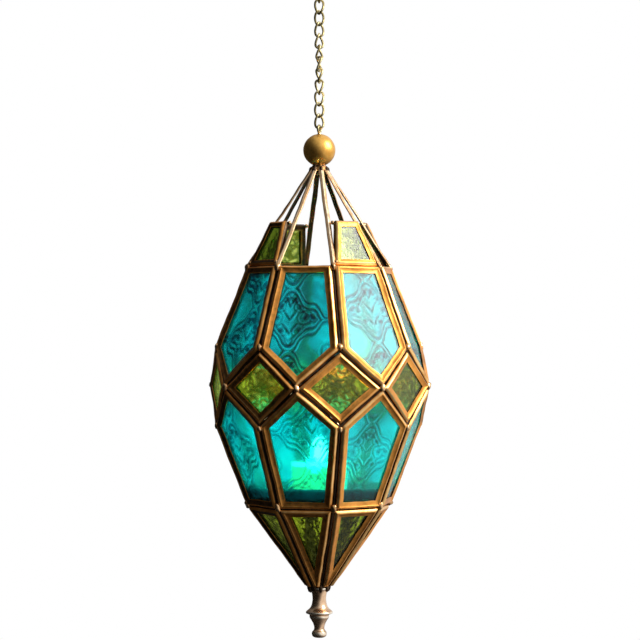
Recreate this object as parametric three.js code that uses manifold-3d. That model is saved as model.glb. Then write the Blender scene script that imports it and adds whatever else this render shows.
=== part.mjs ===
// A hanging moroccan lantern: an eight-sided drop of coloured panes in folded metal frames, with an
// open crown of eight legs, a ball on an eye pin, and a twisted chain that ends in an open hook.
// Millimetres, +Z up. The origin is the inside crest of the hook, where it rests on what carries it.
import * as THREE from "three";
import { mergeVertices } from "three/addons/utils/BufferGeometryUtils.js";
import Module from "manifold-3d";

const wasm = await Module();
wasm.setup();

// Fits
const clearance = 0.3; // between pieces that touch or slide in the real object
const cutMargin = 1; // how far a cutting solid runs past what it cuts

// Lantern body. Its heights are measured up or down from its widest point, the equator.
const sides = 8;
const ringRadius = 50; // corners of the upper and lower rings
const ringHeight = 81.6; // the rings above and below the equator
const shoulderRadius = 72.5; // where two five-sided frames and a diamond meet
const shoulderHeight = 25.2;
const diamondSetBack = 1.5; // from the shoulder corners to the upright plane of a diamond
const coneTipRadius = 9.4;
const coneHeight = 55.4;

// Folded frames and their panes
const frameFace = 5.2; // width of a bar, seen from outside
const frameLip = 0.8; // thickness of the lips in front of and behind the pane
const frameWeb = 0.8; // thickness of the wall round the pane's edge
const paneThickness = 2;
const conePaneFoot = 12; // from the tip end of a cone frame up to the foot of its pane
const solderRadius = 2.2;
const solderSink = 1.2; // bead centre below the outer surface
const solderDrop = 1.6; // bead centre from a ring or shoulder corner, along the seam
const diamondSolderRadius = 2.4;

// Crown
const legFlange = 2; // each side of a leg, which is folded along its length
const legThickness = 0.9;
const legTopRadius = 5;
const legTopDrop = 0.6; // from the cap's top to the outer end of a leg
const crownPaneHeight = 30;
const crownTopStandOff = 6.3; // how far the top of a crown frame stands out from the legs
const crownFrameFace = 4.2;
const crownFootSolderRadius = 1.5;
const crownTopSolderRadius = 1.6;
const capRadius = 6.2;
const capThickness = 4;
const capTopHeight = 149.6;

// Ball and eye pin
const ballRadius = 11;
const ballFlat = 0.9; // the cap seats in this much of the ball's underside
const pinRadius = 1.2;
const pinHeadRadius = 3.2;
const pinHeadThickness = 2;
const eyeRadius = 2.3; // centreline
const eyeWireRadius = 0.85;

// Finial
const finialTopRadius = 7.6;
const finialNeckRadius = 4.8;
const finialNeckDrop = 8.2; // all the drops are measured from the top of the finial
const finialCollarRadius = 9.1;
const finialCollarDrop = 17;
const finialCollarEdge = 0.8;
const finialBeadRadius = 6.5;
const finialBeadDrop = 20.2;
const finialWaistRadius = 3.5;
const finialWaistDrop = 27.8;
const finialKnobRadius = 5.1;
const finialLength = 34.2;
const studRadius = 2;
const studLength = 6;
const tipCollarRadius = 6.6;
const tipCollarHeight = 6.5;

// Tray and tea light
const trayRise = 5; // from the lower ring up to the tray's underside
const trayDepth = 9.4;
const trayWall = 0.8;
const trayFloor = 1;
const candleRadius = 19;
const candleHeight = 24;
const candleCupWall = 0.6;
const candleWaxHeight = 20.5;
const candleWaxDish = 1.2; // how far the wax dips round its wick
const candleSeatHeight = 4;
const candleSeatWall = 1;
const candleSeatClearance = 0.5;
const wickRadius = 0.9;
const wickHeight = 7;

// Chain and hook
const linkCount = 12;
const linkWireRadius = 0.78;
const linkHalfWidth = 2.92; // centreline
const linkHalfLength = 4.83; // centreline
const linkTwist = Math.PI / 4; // each end, against the middle of the link
const chainTwist = Math.PI / 8; // each link, against the one above it
const firstLinkYaw = THREE.MathUtils.degToRad(-33.7);
const hookInnerRadius = 8;
const hookWireRadius = 1.2;
const hookShank = 5;
const hookEyeRadius = 3.2; // centreline
const hookMouthAngle = THREE.MathUtils.degToRad(205);
const hookNeckAngle = THREE.MathUtils.degToRad(-48);

// Facet counts of round pieces
const ballSegments = 24;
const ballArcSteps = 12;
const latheSegments = 20;
const candleSegments = 28;

// Colours, with their roughness and metalness
const agedBrass = { color: 0x8c5f31, roughness: 0.42, metalness: 0.9 };
const ballGold = { color: 0xb08a3c, roughness: 0.5, metalness: 0.85 };
const finialBrass = { color: 0x9a7d58, roughness: 0.4, metalness: 0.9 };
const chainBrass = { color: 0x77683c, roughness: 0.45, metalness: 0.9 };
const turquoiseGlass = { color: 0x0c9db0, roughness: 0.1, metalness: 0, transparent: true, opacity: 0.75 };
const oliveGlass = { color: 0x8a9a22, roughness: 0.15, metalness: 0, transparent: true, opacity: 0.75 };
const darkTin = { color: 0x3a2f28, roughness: 0.6, metalness: 0.7 };
const clearPlastic = { color: 0xe6ece4, roughness: 0.15, metalness: 0, transparent: true, opacity: 0.4 };
const paraffin = { color: 0xf2e9cf, roughness: 0.6, metalness: 0 };

// Values that follow from the sizes above
const step = (2 * Math.PI) / sides;
const halfStep = step / 2;
const flat = Math.cos(halfStep); // a corner's radius times this is its side's distance from the axis
const spread = Math.sin(halfStep); // a corner's radius times this is half of its side's width
const frameGroove = paneThickness + 2 * clearance;
const frameDepth = frameGroove + 2 * frameLip;
const paneInset = frameWeb + clearance;
const legTopHeight = capTopHeight - legTopDrop;
const legRun = legTopHeight - ringHeight;
const diamondApothem = shoulderRadius - diamondSetBack;
const trayFloorHeight = ringHeight - trayRise; // below the equator
const trayRimHeight = trayFloorHeight - trayDepth; // below the equator
const linkPitch = 2 * linkHalfLength - 2 * linkWireRadius - clearance;

// Solids

// A closed three.js geometry as a solid that can be joined and cut.
function solidOf(geometry) {
  const plain = geometry.clone();
  plain.deleteAttribute("normal");
  plain.deleteAttribute("uv");
  const merged = mergeVertices(plain, 1e-4);
  return new wasm.Manifold(
    new wasm.Mesh({
      numProp: 3,
      vertProperties: new Float32Array(merged.attributes.position.array),
      triVerts: new Uint32Array(merged.index.array),
    }),
  );
}

// The geometry of a solid, with flat faces.
function geometryOf(solid) {
  const mesh = solid.getMesh();
  const geometry = new THREE.BufferGeometry();
  geometry.setAttribute("position", new THREE.BufferAttribute(new Float32Array(mesh.vertProperties), 3));
  geometry.setIndex(new THREE.BufferAttribute(new Uint32Array(mesh.triVerts), 1));
  const faceted = geometry.toNonIndexed();
  faceted.computeVertexNormals();
  return faceted;
}

function joined(geometries) {
  return geometries.map(solidOf).reduce((whole, piece) => whole.add(piece));
}

function without(solid, geometries) {
  return geometries.map(solidOf).reduce((rest, cutter) => rest.subtract(cutter), solid);
}

function placed(geometry, matrix) {
  return geometry.clone().applyMatrix4(matrix);
}

function turned(geometry, angle) {
  return geometry.clone().rotateZ(angle);
}

// Copies of a geometry at every side, or at every seam between two sides.
function aroundSides(geometry) {
  return Array.from({ length: sides }, (_, side) => turned(geometry, side * step));
}

function aroundSeams(geometry) {
  return aroundSides(turned(geometry, halfStep));
}

// A flat outline, given counter-clockwise, as a prism between two heights.
function prism(points, low, high) {
  const shape = new THREE.Shape(points);
  return new THREE.ExtrudeGeometry(shape, { depth: high - low, bevelEnabled: false }).translate(0, 0, low);
}

// A profile of [radius, height] pairs turned about the Z axis.
function lathe(profile, segments) {
  const points = profile.map(([radius, height]) => new THREE.Vector2(radius, height));
  return new THREE.LatheGeometry(points, segments).rotateX(Math.PI / 2);
}

function upright(radiusTop, radiusBottom, low, high, segments) {
  const cylinder = new THREE.CylinderGeometry(radiusTop, radiusBottom, high - low, segments);
  return cylinder.rotateX(Math.PI / 2).translate(0, 0, (low + high) / 2);
}

function bead(radius, centre) {
  return new THREE.IcosahedronGeometry(radius, 0).translate(centre.x, centre.y, centre.z);
}

// A convex outline with each edge moved in by its own distance. Edges that vanish are left out.
function insetOutline(points, distances) {
  let kept = points;
  points.forEach((start, index) => {
    const end = points[(index + 1) % points.length];
    const along = end.clone().sub(start).normalize();
    const inward = new THREE.Vector2(-along.y, along.x);
    const depth = (point) => point.clone().sub(start).dot(inward) - distances[index];
    kept = kept.flatMap((point, at) => {
      const next = kept[(at + 1) % kept.length];
      const here = depth(point);
      const there = depth(next);
      const corners = here >= 0 ? [point] : [];
      if (here * there < 0) corners.push(point.clone().lerp(next, here / (here - there)));
      return corners;
    });
  });
  return kept;
}

function evenInset(points, distance) {
  return insetOutline(points, points.map(() => distance));
}

// Facets

// The plane through two level lines of a side, as a matrix: x runs along the side, y up the facet
// and z out of it, from a point on the lower line.
function facetPlane(lowApothem, lowHeight, highApothem, highHeight) {
  const across = new THREE.Vector3(0, 1, 0);
  const up = new THREE.Vector3(highApothem - lowApothem, 0, highHeight - lowHeight).normalize();
  const out = new THREE.Vector3().crossVectors(across, up);
  const matrix = new THREE.Matrix4().makeBasis(across, up, out);
  return { matrix: matrix.setPosition(lowApothem, 0, lowHeight), out, up };
}

// How far a frame stays from the nominal edge, so that it clears its neighbour at its inner corner.
function seamInset(facetOut, neighbourOut, neighbourTurn) {
  const neighbour = neighbourOut.clone().applyAxisAngle(new THREE.Vector3(0, 0, 1), neighbourTurn);
  return frameDepth * Math.tan(facetOut.angleTo(neighbour) / 2) + clearance / 2;
}

const ringApothem = ringRadius * flat;
const shoulderApothem = shoulderRadius * flat;
const bodySlope = (shoulderApothem - ringApothem) / (ringHeight - shoulderHeight);
const seamSlope = (shoulderRadius - ringRadius) / (ringHeight - shoulderHeight);
const pointApothem = ringApothem + bodySlope * ringHeight;
const coneTipHeight = -ringHeight - coneHeight;

const upperFacet = facetPlane(pointApothem, 0, ringApothem, ringHeight);
const lowerFacet = facetPlane(ringApothem, -ringHeight, pointApothem, 0);
const diamondFacet = facetPlane(diamondApothem, -shoulderHeight, diamondApothem, shoulderHeight);
const coneFacet = facetPlane(coneTipRadius * flat, coneTipHeight, ringApothem, -ringHeight);

const sideSeam = seamInset(upperFacet.out, upperFacet.out, step);
const diamondSeam = seamInset(upperFacet.out, diamondFacet.out, halfStep);
const ringSeam = seamInset(lowerFacet.out, coneFacet.out, 0);
const coneSeam = seamInset(coneFacet.out, coneFacet.out, step);

// Outlines, each in the plane of its facet and counter-clockwise

const facetLength = ringHeight / upperFacet.up.z;
const shoulderUp = shoulderHeight / upperFacet.up.z;
const shoulderHalf = shoulderRadius * spread;
const ringHalf = ringRadius * spread;

const upperOutline = insetOutline(
  [
    new THREE.Vector2(0, 0),
    new THREE.Vector2(shoulderHalf, shoulderUp),
    new THREE.Vector2(ringHalf, facetLength),
    new THREE.Vector2(-ringHalf, facetLength),
    new THREE.Vector2(-shoulderHalf, shoulderUp),
  ],
  [diamondSeam, sideSeam, ringSeam, sideSeam, diamondSeam],
);

const lowerOutline = insetOutline(
  [
    new THREE.Vector2(-ringHalf, 0),
    new THREE.Vector2(ringHalf, 0),
    new THREE.Vector2(shoulderHalf, facetLength - shoulderUp),
    new THREE.Vector2(0, facetLength),
    new THREE.Vector2(-shoulderHalf, facetLength - shoulderUp),
  ],
  [ringSeam, sideSeam, diamondSeam, diamondSeam, sideSeam],
);

const diamondHalf = diamondApothem * Math.tan(halfStep);
const diamondOutline = evenInset(
  [
    new THREE.Vector2(0, 0),
    new THREE.Vector2(diamondHalf, shoulderHeight),
    new THREE.Vector2(0, 2 * shoulderHeight),
    new THREE.Vector2(-diamondHalf, shoulderHeight),
  ],
  diamondSeam,
);

const coneLength = coneHeight / coneFacet.up.z;
const coneTipHalf = coneTipRadius * spread;
const coneOutline = insetOutline(
  [
    new THREE.Vector2(-coneTipHalf, 0),
    new THREE.Vector2(coneTipHalf, 0),
    new THREE.Vector2(ringHalf, coneLength),
    new THREE.Vector2(-ringHalf, coneLength),
  ],
  [0, coneSeam, ringSeam, coneSeam],
);

// A folded frame is a slab on its outline, less the window through it and the groove round its pane.
// The insets of the window and the groove are given edge by edge.
function frameSlab(outline, facet) {
  return placed(prism(outline, -frameDepth, 0), facet.matrix);
}

function frameRoom(outline, facet, faces, webs) {
  const window = prism(insetOutline(outline, faces), -frameDepth - cutMargin, cutMargin);
  const groove = prism(insetOutline(outline, webs), -frameLip - frameGroove, -frameLip);
  return [window, groove].map((room) => placed(room, facet.matrix));
}

function evenRoom(outline, facet, face) {
  return frameRoom(outline, facet, outline.map(() => face), outline.map(() => frameWeb));
}

function paneOf(outline, facet, insets) {
  const front = -frameLip - clearance;
  return placed(prism(insetOutline(outline, insets), front - paneThickness, front), facet.matrix);
}

function evenPane(outline, facet) {
  return paneOf(outline, facet, outline.map(() => paneInset));
}

// Solder beads, and the slightly larger room that other rings leave for them

function seamBead(height, grow) {
  const seamRadius = ringRadius + (ringHeight - Math.abs(height)) * seamSlope;
  return bead(solderRadius + grow, new THREE.Vector3(seamRadius - solderSink, 0, height));
}

// Where the corners of two diamonds meet, the bead sits halfway through their depth.
const diamondCornerRadius = diamondApothem / flat - frameDepth / 2;
function diamondBead(grow) {
  return bead(diamondSolderRadius + grow, new THREE.Vector3(diamondCornerRadius, 0, 0));
}

const ringBeadHeight = ringHeight - solderDrop;
const shoulderBeadHeight = shoulderHeight + solderDrop;
const seamBeads = (grow) => [
  ...aroundSeams(seamBead(ringBeadHeight, grow)),
  ...aroundSeams(seamBead(shoulderBeadHeight, grow)),
];
const lowerSeamBeads = (grow) => [
  ...aroundSeams(seamBead(-ringBeadHeight, grow)),
  ...aroundSeams(seamBead(-shoulderBeadHeight, grow)),
];
const diamondBeads = (grow) => aroundSides(diamondBead(grow));

// Frame rings

// Eight slabs and what joins them, less their rooms and the room for the neighbours' beads.
function frameRing(around, slab, rooms, joints, neighbours) {
  const ring = joined([...around(slab), ...joints]);
  return geometryOf(without(ring, [...rooms.flatMap(around), ...neighbours]));
}

function upperRing() {
  const slab = frameSlab(upperOutline, upperFacet);
  const rooms = evenRoom(upperOutline, upperFacet, frameFace);
  return frameRing(aroundSides, slab, rooms, seamBeads(0), diamondBeads(clearance));
}

function lowerRing() {
  const slab = frameSlab(lowerOutline, lowerFacet);
  const rooms = evenRoom(lowerOutline, lowerFacet, frameFace);
  return frameRing(aroundSides, slab, rooms, lowerSeamBeads(0), diamondBeads(clearance));
}

function diamondRing() {
  const slab = frameSlab(diamondOutline, diamondFacet);
  const rooms = evenRoom(diamondOutline, diamondFacet, frameFace);
  const neighbours = [...seamBeads(clearance), ...lowerSeamBeads(clearance)];
  return frameRing(aroundSeams, slab, rooms, diamondBeads(0), neighbours);
}

// The cone's frames end on a collar at the tip, bored for the finial's stud.
function coneRing() {
  const faces = coneOutline.map(() => frameFace);
  const webs = [conePaneFoot - clearance, frameWeb, frameWeb, frameWeb];
  const slab = frameSlab(coneOutline, coneFacet);
  const rooms = frameRoom(coneOutline, coneFacet, faces, webs);
  const collarTop = coneTipHeight + tipCollarHeight;
  const collar = upright(tipCollarRadius, tipCollarRadius, coneTipHeight, collarTop, latheSegments);
  const bore = upright(
    studRadius + clearance,
    studRadius + clearance,
    coneTipHeight - cutMargin,
    coneTipHeight + studLength + clearance,
    latheSegments,
  );
  const below = upright(ringRadius, ringRadius, coneTipHeight - frameDepth * 2, coneTipHeight, sides);
  return frameRing(aroundSides, slab, rooms, [collar], [bore, below, ...lowerSeamBeads(clearance)]);
}

function conePane() {
  return paneOf(coneOutline, coneFacet, [conePaneFoot, paneInset, paneInset, paneInset]);
}

// Crown

// A leg is a strip folded along its length. It runs up a seam from the ring to the cap.
const legOuterFoot = new THREE.Vector3(ringRadius, 0, ringHeight);
const legOuterTop = new THREE.Vector3(legTopRadius, 0, legTopHeight);
const legRadiusAt = (height) =>
  ringRadius + ((legTopRadius - ringRadius) * (height - ringHeight)) / legRun;

function crownLeg() {
  const along = legOuterTop.clone().sub(legOuterFoot);
  const length = along.length() + frameDepth;
  along.normalize();
  const across = new THREE.Vector3(0, 1, 0);
  const out = new THREE.Vector3().crossVectors(across, along);
  const tipAcross = legFlange * Math.cos(halfStep);
  const tipBack = legFlange * Math.sin(halfStep);
  const fold = legThickness / Math.cos(halfStep);
  const section = [
    new THREE.Vector2(0, 0),
    new THREE.Vector2(-tipAcross, -tipBack),
    new THREE.Vector2(-tipAcross, -tipBack - fold),
    new THREE.Vector2(0, -fold),
    new THREE.Vector2(tipAcross, -tipBack - fold),
    new THREE.Vector2(tipAcross, -tipBack),
  ];
  const matrix = new THREE.Matrix4().makeBasis(across.negate(), out, along);
  const foot = legOuterFoot.clone().addScaledVector(along, -frameDepth);
  return placed(prism(section, 0, length), matrix.setPosition(foot));
}

// A crown frame stands on the ring between two legs, and leans in less than they do.
const ringTopHeight = ringHeight - ringSeam * upperFacet.up.z;
const crownFootHeight = ringTopHeight + clearance;
const crownTopHeight = crownFootHeight + crownPaneHeight;
const crownTopApothem = legRadiusAt(crownTopHeight) * flat + crownTopStandOff;
const crownFacet = facetPlane(ringApothem, crownFootHeight, crownTopApothem, crownTopHeight);
const crownHalfAt = (height) => legRadiusAt(height) * spread - legFlange - clearance;
const crownLength = crownPaneHeight / crownFacet.up.z;
const crownOutline = [
  new THREE.Vector2(-crownHalfAt(crownFootHeight), 0),
  new THREE.Vector2(crownHalfAt(crownFootHeight), 0),
  new THREE.Vector2(crownHalfAt(crownTopHeight), crownLength),
  new THREE.Vector2(-crownHalfAt(crownTopHeight), crownLength),
];
const crownPaneSides = [1, 3, 5, 7];

// Beads at the four corners of a crown frame, on the leg's flange and the frame's edge.
function crownBeads() {
  const footHeight = crownFootHeight + solderDrop;
  const footRadius = legRadiusAt(footHeight);
  const topHeight = crownTopHeight - frameDepth / 2;
  const topGap = crownTopStandOff - frameDepth / crownFacet.up.z; // from the legs to the frame's back
  const topOut = legRadiusAt(topHeight) * flat + topGap / 2;
  return [-1, 1].flatMap((hand) => [
    bead(
      crownFootSolderRadius,
      new THREE.Vector3(footRadius * flat - frameDepth / 4, hand * crownHalfAt(footHeight), footHeight),
    ),
    bead(
      crownTopSolderRadius,
      new THREE.Vector3(topOut, hand * (crownHalfAt(topHeight) + clearance), topHeight),
    ),
  ]);
}

function crown() {
  const onPaneSides = (pieces) =>
    crownPaneSides.flatMap((side) => pieces.map((piece) => turned(piece, side * step)));
  const panels = onPaneSides([frameSlab(crownOutline, crownFacet), ...crownBeads()]);
  const rooms = onPaneSides(evenRoom(crownOutline, crownFacet, crownFrameFace));
  const capBottom = capTopHeight - capThickness;
  const cap = upright(capRadius, capRadius, capBottom, capTopHeight, latheSegments);
  const footCut = upright(
    shoulderRadius,
    shoulderRadius,
    ringHeight - frameDepth * 2,
    crownFootHeight,
    sides,
  );
  const legs = geometryOf(without(joined(aroundSeams(crownLeg())), [footCut]));
  const whole = joined([legs, cap, ...panels]);
  const boreRadius = pinRadius + clearance;
  const bore = upright(boreRadius, boreRadius, capBottom - cutMargin, capTopHeight + cutMargin, latheSegments);
  const headRoom = upright(pinHeadRadius + clearance, pinHeadRadius + clearance, pinHeadLow, capBottom, latheSegments);
  const above = upright(ringRadius, ringRadius, capTopHeight, legTopHeight + frameDepth * 2, sides);
  const removed = [bore, headRoom, above, ...rooms, ...seamBeads(clearance)];
  return geometryOf(without(whole, removed));
}

// Ball and eye pin

const ballBottom = capTopHeight + clearance;
const ballCentre = ballBottom + ballRadius - ballFlat;
const pinHeadTop = capTopHeight - capThickness - clearance;
const pinHeadLow = pinHeadTop - pinHeadThickness - clearance;
const ballTop = ballCentre + Math.sqrt(ballRadius ** 2 - (pinRadius + clearance) ** 2);
const eyeCentre = ballTop + clearance + eyeWireRadius + eyeRadius;

function ball() {
  const boreRadius = pinRadius + clearance;
  const from = -Math.PI / 2 + Math.acos((ballRadius - ballFlat) / ballRadius);
  const to = Math.PI / 2 - Math.asin(boreRadius / ballRadius);
  const arc = Array.from({ length: ballArcSteps + 1 }, (_, index) => {
    const angle = from + ((to - from) * index) / ballArcSteps;
    return [ballRadius * Math.cos(angle), ballCentre + ballRadius * Math.sin(angle)];
  });
  return lathe([[boreRadius, ballBottom], ...arc, [boreRadius, ballBottom]], ballSegments);
}

// The eye's wire crosses the last link's wire at a right angle.
function eyePin() {
  const eyeRingSegments = 18;
  const eyeTubeSegments = 8;
  const eye = new THREE.TorusGeometry(eyeRadius, eyeWireRadius, eyeTubeSegments, eyeRingSegments);
  eye.rotateX(Math.PI / 2).translate(0, 0, eyeCentre);
  const shankSegments = 16;
  const shankTop = eyeCentre - eyeRadius;
  const shank = upright(pinRadius, pinRadius, pinHeadTop - pinHeadThickness, shankTop, shankSegments);
  const head = upright(pinHeadRadius, pinHeadRadius, pinHeadTop - pinHeadThickness, pinHeadTop, shankSegments);
  return geometryOf(joined([eye, shank, head]));
}

// Finial

function finial() {
  const top = coneTipHeight - clearance;
  const outline = new THREE.Path();
  outline.moveTo(0, top - finialLength);
  outline.lineTo(finialKnobRadius / 2, top - finialLength);
  const knobCentre = finialLength - finialKnobRadius * 0.6;
  outline.quadraticCurveTo(finialKnobRadius, top - finialLength, finialKnobRadius, top - knobCentre);
  outline.quadraticCurveTo(
    finialKnobRadius,
    top - finialWaistDrop - finialWaistRadius / 4,
    finialWaistRadius,
    top - finialWaistDrop,
  );
  outline.quadraticCurveTo(
    finialWaistRadius,
    top - (finialWaistDrop + finialBeadDrop) / 2,
    finialBeadRadius,
    top - finialBeadDrop,
  );
  outline.lineTo(finialBeadRadius, top - finialBeadDrop + finialCollarEdge);
  outline.lineTo(finialCollarRadius, top - finialCollarDrop - finialCollarEdge / 2);
  outline.lineTo(finialCollarRadius, top - finialCollarDrop + finialCollarEdge / 2);
  outline.quadraticCurveTo(
    finialNeckRadius,
    top - (finialCollarDrop + finialNeckDrop) / 2,
    finialNeckRadius,
    top - finialNeckDrop,
  );
  outline.quadraticCurveTo(finialNeckRadius, top - finialNeckDrop / 2, finialTopRadius, top);
  outline.lineTo(studRadius, top);
  outline.lineTo(studRadius, top + studLength);
  outline.lineTo(0, top + studLength);
  const curvePoints = 4;
  const profile = outline.getPoints(curvePoints).map((point) => [point.x, point.y]);
  return lathe(profile, latheSegments);
}

// Tray and tea light

// The tray follows the taper of the lower frames and rests against their inner faces.
function traySolid(low, high, wall) {
  const insideAt = (height) => {
    const apothem = ringApothem + bodySlope * (ringHeight - height) - frameDepth / lowerFacet.out.x;
    return (apothem - (clearance + wall) / lowerFacet.out.x) / flat;
  };
  return upright(insideAt(high), insideAt(low), -low, -high, sides).rotateZ(halfStep);
}

function tray() {
  const hollowFloor = trayFloorHeight - trayFloor;
  const dish = solidOf(traySolid(trayFloorHeight, trayRimHeight, 0));
  const hollow = traySolid(hollowFloor, trayRimHeight - cutMargin, trayWall);
  const seatInner = candleRadius + candleSeatClearance;
  const seatOuter = seatInner + candleSeatWall;
  const seatFoot = -hollowFloor - trayFloor / 2;
  const seatTop = -hollowFloor + candleSeatHeight;
  const seat = lathe(
    [
      [seatInner, seatFoot],
      [seatOuter, seatFoot],
      [seatOuter, seatTop],
      [seatInner, seatTop],
      [seatInner, seatFoot],
    ],
    candleSegments,
  );
  return geometryOf(without(dish, [hollow]).add(solidOf(seat)));
}

const candleFoot = -trayFloorHeight + trayFloor + clearance;

function candleCup() {
  const inner = candleRadius - candleCupWall;
  const floor = candleFoot + candleCupWall;
  const rim = candleFoot + candleHeight;
  return lathe(
    [
      [0, candleFoot],
      [candleRadius, candleFoot],
      [candleRadius, rim],
      [inner, rim],
      [inner, floor],
      [0, floor],
    ],
    candleSegments,
  );
}

function candleWax() {
  const outer = candleRadius - candleCupWall - clearance;
  const foot = candleFoot + candleCupWall + clearance;
  const surface = foot + candleWaxHeight;
  const pool = surface - candleWaxDish;
  return lathe(
    [
      [0, foot],
      [outer, foot],
      [outer, surface],
      [outer - candleWaxDish, surface - candleWaxDish / 2],
      [outer / 2, pool],
      [wickRadius, pool],
      [wickRadius, pool + wickHeight],
      [0, pool + wickHeight],
    ],
    candleSegments,
  );
}

// Chain and hook

// A link is a ring drawn out along Z, then twisted so that its ends stand across each other.
function chainLink() {
  const ringSteps = 20;
  const wireSides = 6;
  const link = new THREE.TorusGeometry(linkHalfWidth, linkWireRadius, wireSides, ringSteps);
  link.rotateX(Math.PI / 2);
  const straight = linkHalfLength - linkHalfWidth;
  const drawn = linkHalfWidth / 2;
  const position = link.attributes.position;
  const up = new THREE.Vector3(0, 0, 1);
  const point = new THREE.Vector3();
  for (let index = 0; index < position.count; index += 1) {
    point.fromBufferAttribute(position, index);
    point.z += straight * THREE.MathUtils.clamp(point.z / drawn, -1, 1);
    const turn = linkTwist * THREE.MathUtils.clamp(point.z / linkHalfLength, -1, 1);
    point.applyAxisAngle(up, turn);
    position.setXYZ(index, point.x, point.y, point.z);
  }
  return link;
}

const hookArcRadius = hookInnerRadius + hookWireRadius;
const hookShankTop = -hookInnerRadius - hookArcRadius;
const hookEyeCentre = hookShankTop - hookShank - hookEyeRadius;
const hookEyeLow = hookEyeCentre - hookEyeRadius;

// An open hook whose shank hangs under the middle of its bend, with a closed eye below.
function hook() {
  const bendPoints = 12;
  const centreZ = -hookInnerRadius;
  const points = Array.from({ length: bendPoints + 1 }, (_, index) => {
    const angle = hookMouthAngle + ((hookNeckAngle - hookMouthAngle) * index) / bendPoints;
    return new THREE.Vector3(hookArcRadius * Math.cos(angle), 0, centreZ + hookArcRadius * Math.sin(angle));
  });
  points.push(new THREE.Vector3(0, 0, hookShankTop - hookShank / 2));
  points.push(new THREE.Vector3(0, 0, hookEyeCentre + hookEyeRadius));
  const wireSides = 8;
  const section = new THREE.Shape(
    Array.from({ length: wireSides }, (_, index) => {
      const angle = (2 * Math.PI * index) / wireSides;
      return new THREE.Vector2(hookWireRadius * Math.cos(angle), hookWireRadius * Math.sin(angle));
    }),
  );
  const bendSteps = 30;
  const bend = new THREE.ExtrudeGeometry(section, {
    steps: bendSteps,
    bevelEnabled: false,
    extrudePath: new THREE.CatmullRomCurve3(points),
  });
  const eyeSteps = 20;
  const eye = new THREE.TorusGeometry(hookEyeRadius, hookWireRadius, wireSides, eyeSteps);
  eye.rotateX(Math.PI / 2).translate(0, 0, hookEyeCentre);
  return geometryOf(joined([bend, eye]));
}

// Assembly

const part = new THREE.Group();
const lantern = new THREE.Group();
const pinGroup = new THREE.Group();
part.add(lantern, pinGroup);

function addPiece(group, name, geometry, finish, turn = 0) {
  const mesh = new THREE.Mesh(geometry, new THREE.MeshStandardMaterial(finish));
  mesh.name = name;
  mesh.rotation.z = turn;
  group.add(mesh);
  return mesh;
}

const numbered = (name, index) => name + "_" + String(index + 1).padStart(2, "0");

// The chain hangs from the hook's eye, each link in the one above it.
const firstLinkTop = hookEyeLow + hookWireRadius + linkWireRadius + clearance;
const linkCentreAt = (index) => firstLinkTop - linkHalfLength - index * linkPitch;
const linkYawAt = (index) => firstLinkYaw + index * chainTwist;
const lastLinkLow = linkCentreAt(linkCount - 1) - linkHalfLength;
const lastLinkLowYaw = linkYawAt(linkCount - 1) - linkTwist;
const eyeTop = lastLinkLow + linkWireRadius + eyeWireRadius + clearance;
const equatorHeight = eyeTop - eyeRadius - eyeCentre;
const hookYaw = linkYawAt(0) + linkTwist + Math.PI / 2;

addPiece(part, "top_hook", hook(), chainBrass, hookYaw);
for (let index = 0; index < linkCount; index += 1) {
  const link = addPiece(part, numbered("chain_link", index), chainLink(), chainBrass, linkYawAt(index));
  link.position.z = linkCentreAt(index);
}

pinGroup.position.z = equatorHeight;
pinGroup.rotation.z = lastLinkLowYaw + Math.PI / 2;
addPiece(pinGroup, "eye_pin", eyePin(), chainBrass);

lantern.position.z = equatorHeight;
addPiece(lantern, "ball", ball(), ballGold);
addPiece(lantern, "crown", crown(), agedBrass);
addPiece(lantern, "upper_frame_ring", upperRing(), agedBrass);
addPiece(lantern, "diamond_frame_ring", diamondRing(), agedBrass);
addPiece(lantern, "lower_frame_ring", lowerRing(), agedBrass);
addPiece(lantern, "cone_frame_ring", coneRing(), agedBrass);
addPiece(lantern, "finial", finial(), finialBrass);
addPiece(lantern, "tray", tray(), darkTin);
addPiece(lantern, "candle_cup", candleCup(), clearPlastic);
addPiece(lantern, "candle_wax", candleWax(), paraffin);

crownPaneSides.forEach((side, index) => {
  const pane = evenPane(crownOutline, crownFacet);
  addPiece(lantern, numbered("crown_pane", index), pane, oliveGlass, side * step);
});
for (let side = 0; side < sides; side += 1) {
  const angle = side * step;
  const upper = evenPane(upperOutline, upperFacet);
  const diamond = evenPane(diamondOutline, diamondFacet);
  const lower = evenPane(lowerOutline, lowerFacet);
  const cone = conePane();
  addPiece(lantern, numbered("upper_pane", side), upper, turquoiseGlass, angle);
  addPiece(lantern, numbered("diamond_pane", side), diamond, oliveGlass, angle + halfStep);
  addPiece(lantern, numbered("lower_pane", side), lower, turquoiseGlass, angle);
  addPiece(lantern, numbered("cone_pane", side), cone, oliveGlass, angle);
}

export default part;
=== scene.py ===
"""Dresses the hanging moroccan lantern: folded frames, pressed panes, ball, finial, chain and a lit tea light."""
import logging
import math
from collections.abc import Callable, Iterable, Sequence
from dataclasses import dataclass, field
from enum import Enum

import bpy
import numpy as np
from mathutils import Matrix, Vector, noise
from mathutils.geometry import delaunay_2d_cdt


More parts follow.
